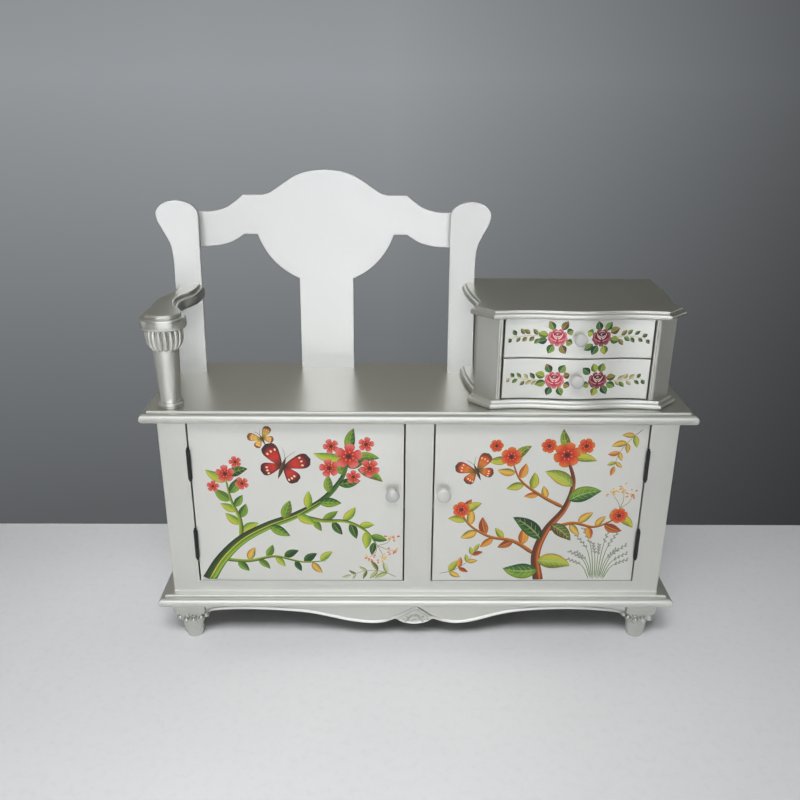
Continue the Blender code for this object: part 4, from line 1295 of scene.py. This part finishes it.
        def at(u, v):
            return (x + u * r, z + v * r)
        for k in range(9):                             # outer petals, light at their edges
            a = math.radians(-90 + 40 * (k - 4) * 0.98)
            self.petal(at(0.22 * math.cos(a), 0.16 * math.sin(a) - 0.02), a, r * 0.80, r * 0.66,
                       deep, body, mixed(body, light, 0.24))
        self.dab(at(0, 0.10), r * 0.70, r * 0.62, 0, body, mixed(deep, body, 0.5))
        self.dab(at(0, 0.30), r * 0.52, r * 0.44, 0, deep, mixed(deep, body, 0.35))
        for s in (-1, 1):                              # lower and side petals
            self.arc_stroke(at(s * 0.30, -0.26), r * 0.42, r * 0.40, 250 if s < 0 else 290,
                            150 if s < 0 else 390, r * 0.26, mixed(body, light, 0.30), mixed(deep, body, 0.6))
            self.arc_stroke(at(s * 0.50, 0.12), r * 0.34, r * 0.46, 250 if s < 0 else 290,
                            110 if s < 0 else 430, r * 0.18, mixed(body, light, 0.45), body)
        self.arc_stroke(at(0, -0.34), r * 0.40, r * 0.34, 205, 335, r * 0.20, mixed(body, light, 0.20),
                        deep)
        for s in (-1, 1):                              # white turned-over edges
            self.stroke([at(s * 0.06, -0.20), at(s * 0.26, -0.06), at(s * 0.44, 0.20),
                         at(s * 0.48, 0.42)], r * 0.17, r * 0.07, mixed(body, light, 0.6), CREAM, s)
            self.stroke([at(s * 0.10, -0.42), at(s * 0.40, -0.34), at(s * 0.66, -0.12)], r * 0.11,
                        r * 0.05, mixed(body, light, 0.5), light, s)
        self.arc_stroke(at(0, 0.40), r * 0.34, r * 0.24, 15, 165, r * 0.12, light, mixed(body, light, 0.5))
        self.arc_stroke(at(0, 0.30), r * 0.30, r * 0.26, 195, 345, r * 0.12, CREAM, mixed(body, light, 0.6))
        self.dab(at(0.02, 0.34), r * 0.17, r * 0.14, 0, mixed(deep, INK, 0.25), deep)
        self.arc_stroke(at(0.02, 0.34), r * 0.13, r * 0.10, 20, 320, r * 0.06, light, CREAM)

    def spray(self, pts, count, length, width, palette, stem, first=0.12, spread=0.9):
        """Twig with leaves in pairs along it."""
        self.stroke(pts, 0.0013, 0.0006, stem, mixed(stem, LIME, 0.4))
        line = spline(pts, 12)
        for k in range(count):
            t = first + (1 - first) * (k + 0.5) / count
            i = min(len(line) - 2, int(t * (len(line) - 1)))
            p, q = Vector(line[i]), Vector(line[i + 1])
            base = math.atan2((q - p).y, (q - p).x)
            for sgn in (-1, 1):
                a = base + sgn * (spread + self.rng.uniform(-0.25, 0.2))
                ln = length * (1.0 - 0.45 * t) * self.rng.uniform(0.8, 1.15)
                tip = p + Vector((math.cos(a), math.sin(a))) * ln
                self.leaf(tuple(p), tuple(tip), width * ln / length, self.rng.choice(palette),
                          self.rng.uniform(-0.15, 0.15), self.rng.choice((-1, 1)))
        p, q = Vector(line[-2]), Vector(line[-1])
        d = (q - p).normalized()
        self.leaf(tuple(q - d * 0.001), tuple(q + d * length * 0.6), width * 0.6,
                  self.rng.choice(palette), 0.05)

    def leafy(self, pts, count, length, width, palette, first=0.12, last=1.0, spread=0.85, vein=None,
              veins=0):
        """Leaves in turn on either side of a stem that is painted already."""
        line = spline(pts, 12)
        for k in range(count):
            t = first + (last - first) * (k + 0.5) / count
            i = min(len(line) - 2, int(t * (len(line) - 1)))
            p, q = Vector(line[i]), Vector(line[i + 1])
            sgn = 1 if k % 2 else -1
            a = math.atan2((q - p).y, (q - p).x) + sgn * (spread + self.rng.uniform(-0.22, 0.22))
            d = Vector((math.cos(a), math.sin(a)))
            ln = length * self.rng.uniform(0.82, 1.12)
            self.leaf(tuple(p + d * 0.0015), tuple(p + d * ln),
                      width * ln / length * self.rng.uniform(0.92, 1.1), self.rng.choice(palette),
                      self.rng.uniform(-0.14, 0.14), sgn, vein, None, 0.8, veins)

    def berries(self, root, tips, stem, colours):
        """Open sprig with a cluster of small drops at each end."""
        for tip in tips:
            mid = (Vector(root) + Vector(tip)) / 2 + Vector((0.004, -0.003))
            self.stroke([root, tuple(mid), tip], 0.0012, 0.0006, stem, mixed(stem, YELLOW, 0.4))
            for k in range(9):
                a = self.rng.uniform(0, 2 * math.pi)
                d = self.rng.uniform(0.002, 0.0125)
                at = (tip[0] + d * math.cos(a), tip[1] + d * math.sin(a))
                col = self.rng.choice(colours)
                self.dab(at, self.rng.uniform(0.0024, 0.0036), self.rng.uniform(0.0014, 0.0020), a,
                         mixed(col, CREAM, 0.25), col)

    def butterfly(self, c, size, turn, inner, outer, rim):
        def at(x, z):
            ct, st = math.cos(turn), math.sin(turn)
            return (c[0] + size * (x * ct - z * st), c[1] + size * (x * st + z * ct))
        for sgn in (-1, 1):
            for angle, ln, wd in ((38, 0.60, 0.46), (-34, 0.46, 0.40)):
                a = math.radians(angle if sgn > 0 else 180 - angle) + turn
                self.petal(at(sgn * 0.03, 0.02), a, size * ln, size * wd, rim, outer, rim)
                self.petal(at(sgn * 0.05, 0.02), a, size * ln * 0.80, size * wd * 0.76, rim, inner,
                           outer)
                for k, off in enumerate((-0.10, 0.0, 0.10)):
                    q = a + off * 2.2
                    self.dab((at(0, 0)[0] + size * ln * 0.72 * math.cos(q),
                              at(0, 0)[1] + size * ln * 0.72 * math.sin(q)), size * 0.030,
                             size * 0.022, q, CREAM, YELLOW)
            self.stroke([at(0.0, 0.20), at(sgn * 0.07, 0.34), at(sgn * 0.15, 0.44)], 0.0008, 0.0004,
                        INK, INK)
        self.leaf(at(0, -0.30), at(0, 0.24), size * 0.09, (INK, BROWN, OLIVE), 0.0, blunt=1.0)

    def done(self, name, body):
        mesh = bpy.data.meshes.new(name)
        mesh.from_pydata([Vector(v) + SHIFT for v in self.verts], [], self.faces)
        bm = bmesh.new()
        bm.from_mesh(mesh)
        bmesh.ops.recalc_face_normals(bm, faces=bm.faces)
        bm.to_mesh(mesh)
        bm.free()
        attr = mesh.color_attributes.new(name="paint", type='FLOAT_COLOR', domain='POINT')
        flat = [c for col in self.cols for c in (*col, 1.0)]
        attr.data.foreach_set("color", flat)
        mesh.materials.append(COLOUR)
        mesh.shade_smooth()
        mesh.set_sharp_from_angle(angle=math.radians(60))
        obj = bpy.data.objects.new(name, mesh)
        scene.collection.objects.link(obj)
        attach(obj, body)
        return obj


FRESH = [(DARK, GREEN, LIME), (GREEN, LIME, YELLOW), (OLIVE, GREEN, LIME), (DARK, DARK, GREEN)]
MUTED = [(OLIVE, PALE, PALE), (GREEN, PALE, CREAM), (OLIVE, OLIVE, PALE)]
AUTUMN = [(RUST, ORANGE, YELLOW), (OLIVE, YELLOW, ORANGE), (RUST, RUST, ORANGE),
          (OLIVE, LIME, YELLOW)]


def mm(*pts):
    return [(x / 1000.0, z / 1000.0) for x, z in pts]


def paint_left_door():
    x0, z0 = -DOOR_OUT, DOOR_Z[0]
    p = Painting(lambda x, z, h: Vector((x0 + x, FACE_Y - h, z0 + z)), 11,
                 (0.0025, DOOR_OUT - STILE_C["left"] - DOOR_GAP - 0.0025, 0.0025,
                  DOOR_Z[1] - DOOR_Z[0] - 0.0025))
    # stem from the lower left corner, rising to the right, with three side shoots
    main = mm((16, 2), (44, 48), (84, 90), (134, 120), (190, 144), (240, 176), (276, 220), (290, 262))
    up = mm((84, 90), (84, 134), (70, 174), (62, 222))
    out = mm((190, 144), (238, 132), (284, 130), (320, 110), (342, 78))
    low = mm((44, 48), (96, 44), (146, 54), (196, 42), (244, 44))
    p.spray(mm((378, 8), (352, 20), (322, 22), (290, 12)), 4, 0.030, 0.0100, MUTED, OLIVE)
    p.leafy(up, 7, 0.036, 0.0165, FRESH, 0.10, 0.85, vein=LIME)
    p.leafy(out, 9, 0.036, 0.0160, FRESH, vein=LIME)
    p.leafy(low, 10, 0.032, 0.0145, FRESH + AUTUMN[1:2])
    for line, w0, w1, side in ((up, 0.0095, 0.0030, 1), (out, 0.0095, 0.0030, -1),
                               (low, 0.0080, 0.0022, 1)):
        p.stroke(line, w0, w1, INK, LIME, side, 10)
    p.stroke(main, 0.0260, 0.0055, INK, GREEN, -1, 12, False)
    p.stroke([(x + 0.0042, z - 0.0036) for x, z in main[:-2]], 0.0085, 0.0020, GREEN, LIME, -1, 10)
    p.stroke([(x + 0.0012, z + 0.0004) for x, z in main[:-2]], 0.0030, 0.0010, LIME, YELLOW, 1, 10)
    p.leafy(main, 9, 0.044, 0.0195, FRESH, 0.42, 0.98, vein=LIME, veins=4)
    for a, b in (((300, 262), (346, 262)), ((280, 262), (226, 272)), ((292, 276), (300, 322)),
                 ((306, 240), (352, 214)), ((66, 216), (26, 238)), ((66, 226), (104, 240))):
        p.leaf((a[0] / 1000, a[1] / 1000), (b[0] / 1000, b[1] / 1000), 0.0195, p.rng.choice(FRESH),
               0.14, 1, LIME, veins=4)
    for c, r, turn in (((290, 266), 26, 0.2), ((328, 242), 19, 0.9), ((254, 242), 19, 0.5),
                       ((322, 290), 15, 0.1), ((258, 286), 15, 0.7), ((298, 224), 14, 0.3),
                       ((62, 230), 18, 0.4), ((92, 210), 13, 0.8), ((38, 204), 12, 0.2),
                       ((82, 254), 12, 0.6)):
        p.blossom((c[0] / 1000, c[1] / 1000), r / 1000, CRIMSON, RED, mixed(RED, BLUSH, 0.35), INK,
                  turn)
    p.berries((0.342, 0.078), mm((370, 96), (374, 66), (352, 48), (326, 52)), OLIVE,
              [YELLOW, ORANGE, YELLOW, RED])
    p.butterfly((0.168, 0.244), 0.086, -0.35, RED, CRIMSON, INK)
    p.butterfly((0.134, 0.300), 0.044, 0.45, YELLOW, ORANGE, BROWN)
    p.done("door_left_painting", "door_left")


def paint_right_door():
    x0, z0 = STILE_C["right"] + DOOR_GAP, DOOR_Z[0]
    p = Painting(lambda x, z, h: Vector((x0 + x, FACE_Y - h, z0 + z)), 23,
                 (0.0025, DOOR_OUT - x0 - 0.0025, 0.0025, DOOR_Z[1] - DOOR_Z[0] - 0.0025))
    # tuft of arching grasses with small seeds at the lower right
    for k in range(13):
        a = math.radians(44 + 7.6 * k)
        root = Vector((0.318 - 0.0023 * (k - 6), 0.0045 + 0.0035 * (k * 5 % 4) / 3))
        reach = min(0.096 + 0.028 * math.sin(k * 1.7), 0.046 / max(0.05, abs(math.cos(a))))
        tip = root + Vector((math.cos(a), math.sin(a))) * reach
        mid = (root + tip) / 2 + Vector((-0.16 * math.cos(a) * reach, 0.11 * reach))
        blade = [tuple(root), tuple(mid), tuple(tip)]
        p.stroke(blade, 0.0021, 0.0007, mixed(GREY, GREEN, 0.55), mixed(GREY, LIME, 0.45), 1 if k % 2 else -1)
        line = spline(blade, 14)
        for j in range(8):
            i = int((0.60 + 0.055 * j) * (len(line) - 2))
            q, d = Vector(line[i]), (Vector(line[i + 1]) - Vector(line[i])).normalized()
            sgn = 1 if j % 2 else -1
            turn = math.atan2(d.y, d.x) + sgn * 0.55
            at = q + Vector((math.cos(turn), math.sin(turn))) * 0.0034
            p.dab(tuple(at), 0.0032, 0.0013, turn, mixed(GREY, CREAM, 0.30), mixed(GREY, OLIVE, 0.35))
    # stem from the middle of the lower edge, with a shoot to the left, right and top
    main = mm((206, 2), (198, 58), (214, 112), (246, 160), (258, 214), (244, 262))
    left = mm((198, 58), (154, 88), (108, 98), (70, 122), (52, 150))
    right = mm((214, 112), (262, 128), (306, 120), (346, 138))
    top = mm((246, 160), (200, 186), (160, 218), (142, 258))
    p.leafy(left, 9, 0.036, 0.0165, AUTUMN, vein=YELLOW)
    p.leafy(right, 6, 0.034, 0.0155, AUTUMN, 0.25, vein=YELLOW)
    p.leafy(top, 7, 0.034, 0.0155, AUTUMN + FRESH[1:2], 0.2, vein=YELLOW)
    for line, w0, w1, side in ((left, 0.0090, 0.0028, -1), (right, 0.0085, 0.0028, 1),
                               (top, 0.0080, 0.0026, -1)):
        p.stroke(line, w0, w1, BROWN, ORANGE, side, 10)
    p.stroke(main, 0.0200, 0.0050, mixed(BROWN, INK, 0.4), RUST, -1, 12, False)
    p.stroke([(x + 0.0030, z) for x, z in main[:-1]], 0.0060, 0.0018, RUST, ORANGE, -1, 10)
    for a, b, w, shades, bend in (((203, 26), (136, 28), 34, (DARK, GREEN, LIME), 0.16),
                                  ((201, 44), (266, 34), 33, (OLIVE, LIME, YELLOW), 0.16),
                                  ((206, 92), (150, 140), 30, (DARK, DARK, GREEN), -0.14),
                                  ((252, 176), (312, 196), 31, (DARK, GREEN, LIME), 0.16),
                                  ((257, 206), (204, 236), 27, (OLIVE, LIME, YELLOW), -0.14),
                                  ((222, 124), (262, 90), 25, (BROWN, OLIVE, GREEN), 0.14)):
        p.leaf((a[0] / 1000, a[1] / 1000), (b[0] / 1000, b[1] / 1000), w / 1000, shades, bend, 1,
               PALE, veins=5)
    for a, b in (((252, 266), (298, 258)), ((244, 280), (232, 322)), ((146, 262), (176, 288)),
                 ((136, 262), (98, 258)), ((58, 152), (90, 170)), ((350, 144), (378, 118))):
        p.leaf((a[0] / 1000, a[1] / 1000), (b[0] / 1000, b[1] / 1000), 0.0175,
               p.rng.choice(AUTUMN + FRESH[1:3]), 0.12, 1, YELLOW, veins=3)
    for c, r, turn in (((242, 270), 26, 0.3), ((208, 288), 15, 0.8), ((276, 288), 16, 0.2),
                       ((140, 266), 20, 0.5), ((112, 288), 13, 0.1), ((52, 156), 17, 0.6),
                       ((350, 144), 17, 0.2)):
        p.blossom((c[0] / 1000, c[1] / 1000), r / 1000, CRIMSON, RED, ORANGE, INK, turn, 6)
    p.spray(mm((376, 322), (356, 302), (338, 276), (330, 246)), 4, 0.032, 0.0145, AUTUMN, RUST)
    p.spray(mm((14, 16), (42, 24), (66, 42), (80, 66)), 4, 0.032, 0.0145, AUTUMN, RUST)
    p.berries((0.350, 0.160), mm((372, 190), (352, 204), (332, 192)), OLIVE,
              [ORANGE, YELLOW, RED, YELLOW])
    p.butterfly((0.078, 0.236), 0.066, 0.40, ORANGE, RED, DARK)
    p.done("door_right_painting", "door_right")


ROSE_LEAVES = {-1: ((118, 24), (62, 25), (20, 27), (168, 26), (200, 27.5), (244, 25), (300, 25),
                    (338, 26)),
               1: ((156, 26), (100, 23), (58, 23.5), (24, 27), (-16, 25), (-80, 24.5), (250, 26),
                   (216, 28.5))}
LEAF_TONES = [(lin(22, 58, 24), lin(62, 122, 40), lin(176, 198, 74)),
              (lin(48, 78, 20), lin(132, 162, 30), lin(214, 216, 84)),
              (lin(58, 48, 16), lin(116, 104, 30), lin(186, 166, 74)),
              (lin(10, 42, 24), lin(24, 82, 38), lin(104, 154, 66)),
              (lin(36, 64, 20), lin(92, 126, 30), lin(196, 200, 84))]
TWIG_TONES = [(lin(128, 120, 66), lin(186, 178, 116), lin(226, 220, 170)),
              (lin(40, 72, 34), lin(92, 126, 58), lin(170, 188, 104)),
              (lin(70, 66, 30), lin(126, 116, 54), lin(184, 172, 104)),
              (lin(30, 50, 30), lin(62, 92, 46), lin(138, 160, 86))]


def paint_drawer(level, seed, flip):
    kz = DRAWER_KNOB_Z[level]
    p = Painting(lambda x, z, h: Vector((CHEST_X + x, DRAWER_FRONT_Y + wave(x) - h, kz + z)), seed,
                 (-0.1240, 0.1240, -0.0310, 0.0310))
    rng = p.rng
    for s, deep, body, light in ((-1, lin(160, 26, 48), lin(216, 66, 86), lin(252, 214, 214)),
                                 (1, lin(62, 4, 16), lin(122, 12, 34), lin(244, 176, 184))):
        cx, cz = s * 0.0385, 0.0010 * flip
        for k in range(7):                             # fine pale strokes between the leaves
            a = math.radians(25 + 51 * k + rng.uniform(-10, 10))
            q0, q1 = 0.0185, rng.uniform(0.028, 0.032)
            if abs(cx + q1 * math.cos(a)) > 0.014 and abs(q1 * math.sin(a)) < 0.030:
                p.stroke([(cx + q0 * math.cos(a), cz + q0 * math.sin(a)),
                          (cx + 0.5 * (q0 + q1) * math.cos(a + 0.06), cz + 0.5 * (q0 + q1) * math.sin(a + 0.06)),
                          (cx + q1 * math.cos(a + 0.16), cz + q1 * math.sin(a + 0.16))], 0.0010, 0.0004,
                         lin(170, 172, 108), lin(214, 210, 160))
        for k, (angle, mid) in enumerate(ROSE_LEAVES[s]):
            a = math.radians(angle + rng.uniform(-7, 7)) * (1 if flip > 0 else -1)
            half = rng.uniform(0.0084, 0.0096)
            r0, r1 = mid / 1000 - 0.0004 - half, mid / 1000 - 0.0004 + half
            tip = (cx + r1 * math.cos(a), cz + r1 * math.sin(a))
            if abs(tip[0]) < 0.0085:
                r1 = r0 + 1.3 * half
                tip = (cx + r1 * math.cos(a), cz + r1 * math.sin(a))
            if abs(tip[1]) > 0.0305:
                tip = (tip[0], math.copysign(0.0305, tip[1]))
            tones = LEAF_TONES[(k * 2 + seed + (s > 0)) % len(LEAF_TONES)]
            p.leaf((cx + r0 * math.cos(a), cz + r0 * math.sin(a)), tip, rng.uniform(0.0128, 0.0146),
                   tones, rng.uniform(-0.10, 0.10), rng.choice((-1, 1)), mixed(tones[2], CREAM, 0.35),
                   lin(196, 120, 44) if rng.random() < 0.22 else None, 0.86)
        # side spray of small separate leaves on fine twigs
        stem = [(s * 0.0640, cz - 0.001), (s * 0.0800, cz + 0.0020 * flip), (s * 0.0980, cz + 0.0005),
                (s * 0.1180, cz - 0.0030 * flip)]
        p.stroke(stem, 0.0010, 0.0005, lin(168, 164, 104), lin(206, 200, 146))
        line = spline(stem, 10)
        for k in range(9):
            i = int(2 + (len(line) - 4) * k / 8)
            b = Vector(line[i])
            sgn = 1 if k % 2 else -1
            a = (0.0 if s > 0 else math.pi) + sgn * s * rng.uniform(0.55, 1.0)
            d = Vector((math.cos(a), math.sin(a)))
            gap, ln = rng.uniform(0.0020, 0.0045), rng.uniform(0.0122, 0.0152) * (1.0 - 0.035 * k)
            p.stroke([tuple(b), tuple(b + d * gap * 0.6), tuple(b + d * (gap + 0.001))], 0.0008, 0.0005,
                     lin(168, 164, 104), lin(206, 200, 146))
            tones = rng.choice(TWIG_TONES)
            p.leaf(tuple(b + d * gap), tuple(b + d * (gap + ln)), rng.uniform(0.0064, 0.0082), tones,
                   rng.uniform(-0.12, 0.12), rng.choice((-1, 1)), None, None, 0.9)
            if k % 3 == 1:
                a2 = a - sgn * s * 0.7
                p.stroke([tuple(b), tuple(b + Vector((math.cos(a2), math.sin(a2))) * 0.005),
                          tuple(b + Vector((math.cos(a2 + 0.3), math.sin(a2 + 0.3))) * 0.010)], 0.0009,
                         0.0004, lin(190, 186, 130), lin(220, 214, 170))
        p.rose((cx, cz), 0.0172, deep, body, light)
    p.done("drawer_%s_painting" % level, "drawer_" + level)


paint_left_door()
paint_right_door()
paint_drawer("upper", 5, 1)
paint_drawer("lower", 8, -1)


# ---------------------------------------------------------------- stage, light
def floor():
    t = Mat("floor")
    speck = t.noise(60.0, 6.0, 0.65)
    patch = t.noise(1.6, 4.0, 0.5)
    col = t.ramp(patch, [(0.3, (0.760, 0.772, 0.795)), (0.7, (0.800, 0.812, 0.832))])
    t.base(t.mix(col, t.ramp(speck, [(0.28, (0.92, 0.92, 0.92)), (0.5, (1.0, 1.0, 1.0))]), 0.6,
                 'MULTIPLY'))
    t.rough(t.span(patch, 0.60, 0.72))
    mesh = bpy.data.meshes.new("floor")
    mesh.from_pydata([(-7, -8, 0), (7, -8, 0), (7, 0.33, 0), (-7, 0.33, 0)], [], [(0, 1, 2, 3)])
    mesh.materials.append(t.m)
    obj = bpy.data.objects.new("floor", mesh)
    scene.collection.objects.link(obj)


def world():
    w = bpy.data.worlds.new("studio")
    scene.world = w
    w.use_nodes = True
    nt = w.node_tree
    back = nt.nodes["Background"]
    coord = nt.nodes.new("ShaderNodeTexCoord")
    split = nt.nodes.new("ShaderNodeSeparateXYZ")
    nt.links.new(coord.outputs["Generated"], split.inputs["Vector"])
    height = nt.nodes.new("ShaderNodeMapRange")
    height.inputs["From Min"].default_value = -0.6
    height.inputs["From Max"].default_value = 1.0
    nt.links.new(split.outputs["Z"], height.inputs["Value"])
    ramp = nt.nodes.new("ShaderNodeValToRGB")
    els = ramp.color_ramp.elements
    stops = [(0.03, 0.082), (0.09, 0.098), (0.20, 0.160), (0.37, 0.275), (0.42, 0.25),
             (0.45, 0.04), (0.50, 0.01), (0.565, 0.01), (0.618, 0.50), (0.68, 0.20), (0.80, 0.09),
             (1.0, 0.08)]
    while len(els) < len(stops):
        els.new(0.5)
    for el, (pos, v) in zip(els, stops):
        el.position = pos
        el.color = (v * 0.95, v, v * 1.05, 1.0) if pos < 0.43 else (v * 1.01, v, v * 0.92, 1.0)
    nt.links.new(height.outputs["Result"], ramp.inputs["Fac"])
    across = nt.nodes.new("ShaderNodeMapRange")
    across.inputs["From Min"].default_value = -0.5
    across.inputs["From Max"].default_value = 0.5
    nt.links.new(split.outputs["X"], across.inputs["Value"])
    fall = nt.nodes.new("ShaderNodeValToRGB")
    els = fall.color_ramp.elements
    stops = [(0.05, 1.12), (0.28, 1.20), (0.50, 1.18), (0.72, 0.80), (0.95, 0.36)]
    while len(els) < len(stops):
        els.new(0.5)
    for el, (pos, v) in zip(els, stops):
        el.position = pos
        el.color = (v, v, v, 1.0)
    nt.links.new(across.outputs["Result"], fall.inputs["Fac"])
    nt.links.new(ramp.outputs["Color"], back.inputs["Color"])
    nt.links.new(fall.outputs["Color"], back.inputs["Strength"])


def lamp(name, at, aim, size, power, spread=180.0, seen="both", tint=(1.0, 1.0, 1.0)):
    """Soft panel; seen says whether it lights by diffuse light, by reflection or both."""
    data = bpy.data.lights.new(name, 'AREA')
    data.shape = 'RECTANGLE'
    data.size, data.size_y = size
    data.energy = power
    data.color = tint
    data.spread = math.radians(spread)
    obj = bpy.data.objects.new(name, data)
    obj.location = at
    obj.rotation_mode = 'QUATERNION'
    obj.rotation_quaternion = (Vector(aim) - Vector(at)).to_track_quat('-Z', 'Y')
    obj.visible_camera = False
    obj.visible_glossy = seen != "diffuse"
    obj.visible_diffuse = seen != "mirror"
    scene.collection.objects.link(obj)


floor()
world()
COOL = (0.97, 1.0, 1.09)
lamp("key", (-1.7, -2.3, 2.5), (0.0, -0.2, 0.3), (1.0, 0.8), 11.0, seen="diffuse")
lamp("over", (-0.3, -2.1, 2.9), (-0.20, -0.45, 0.1), (2.0, 0.8), 10.0, 54.0, seen="diffuse")
lamp("front", (0.0, -4.2, 1.9), (0.0, 0.0, 0.8), (4.4, 3.6), 45.0, seen="mirror", tint=COOL)
lamp("front_high", (0.0, -2.6, 3.45), (0.0, -0.1, 0.3), (4.0, 1.9), 31.0, seen="mirror", tint=COOL)
lamp("front_mid", (0.0, -3.7, 2.75), (0.0, -0.1, 0.3), (4.2, 1.3), 8.0, seen="mirror", tint=COOL)
lamp("ceiling", (0.0, 0.2, 3.4), (0.0, 0.2, 0.0), (6.0, 3.6), 22.0, seen="mirror")
lamp("left", (-2.6, -0.4, 0.35), (0.0, -0.2, 0.5), (1.8, 1.0), 2.6, seen="mirror")
lamp("right", (2.6, 0.9, 0.35), (0.3, 0.0, 0.5), (1.8, 1.0), 1.8, seen="mirror")
lamp("far_floor", (0.0, -4.6, 2.2), (0.0, -4.6, 0.0), (3.0, 1.2), 84.0, 70.0)
lamp("near_floor", (0.0, -2.5, 2.2), (0.0, -2.5, 0.0), (3.4, 0.9), 24.0, 64.0)
lamp("rear", (0.4, 1.7, 3.2), (0.0, 0.1, 0.4), (2.4, 1.2), 16.0, seen="diffuse")
scene.view_settings.view_transform = 'Standard'
scene.view_settings.look = 'None'

# ---------------------------------------------------------------- finish
bpy.context.view_layer.update()
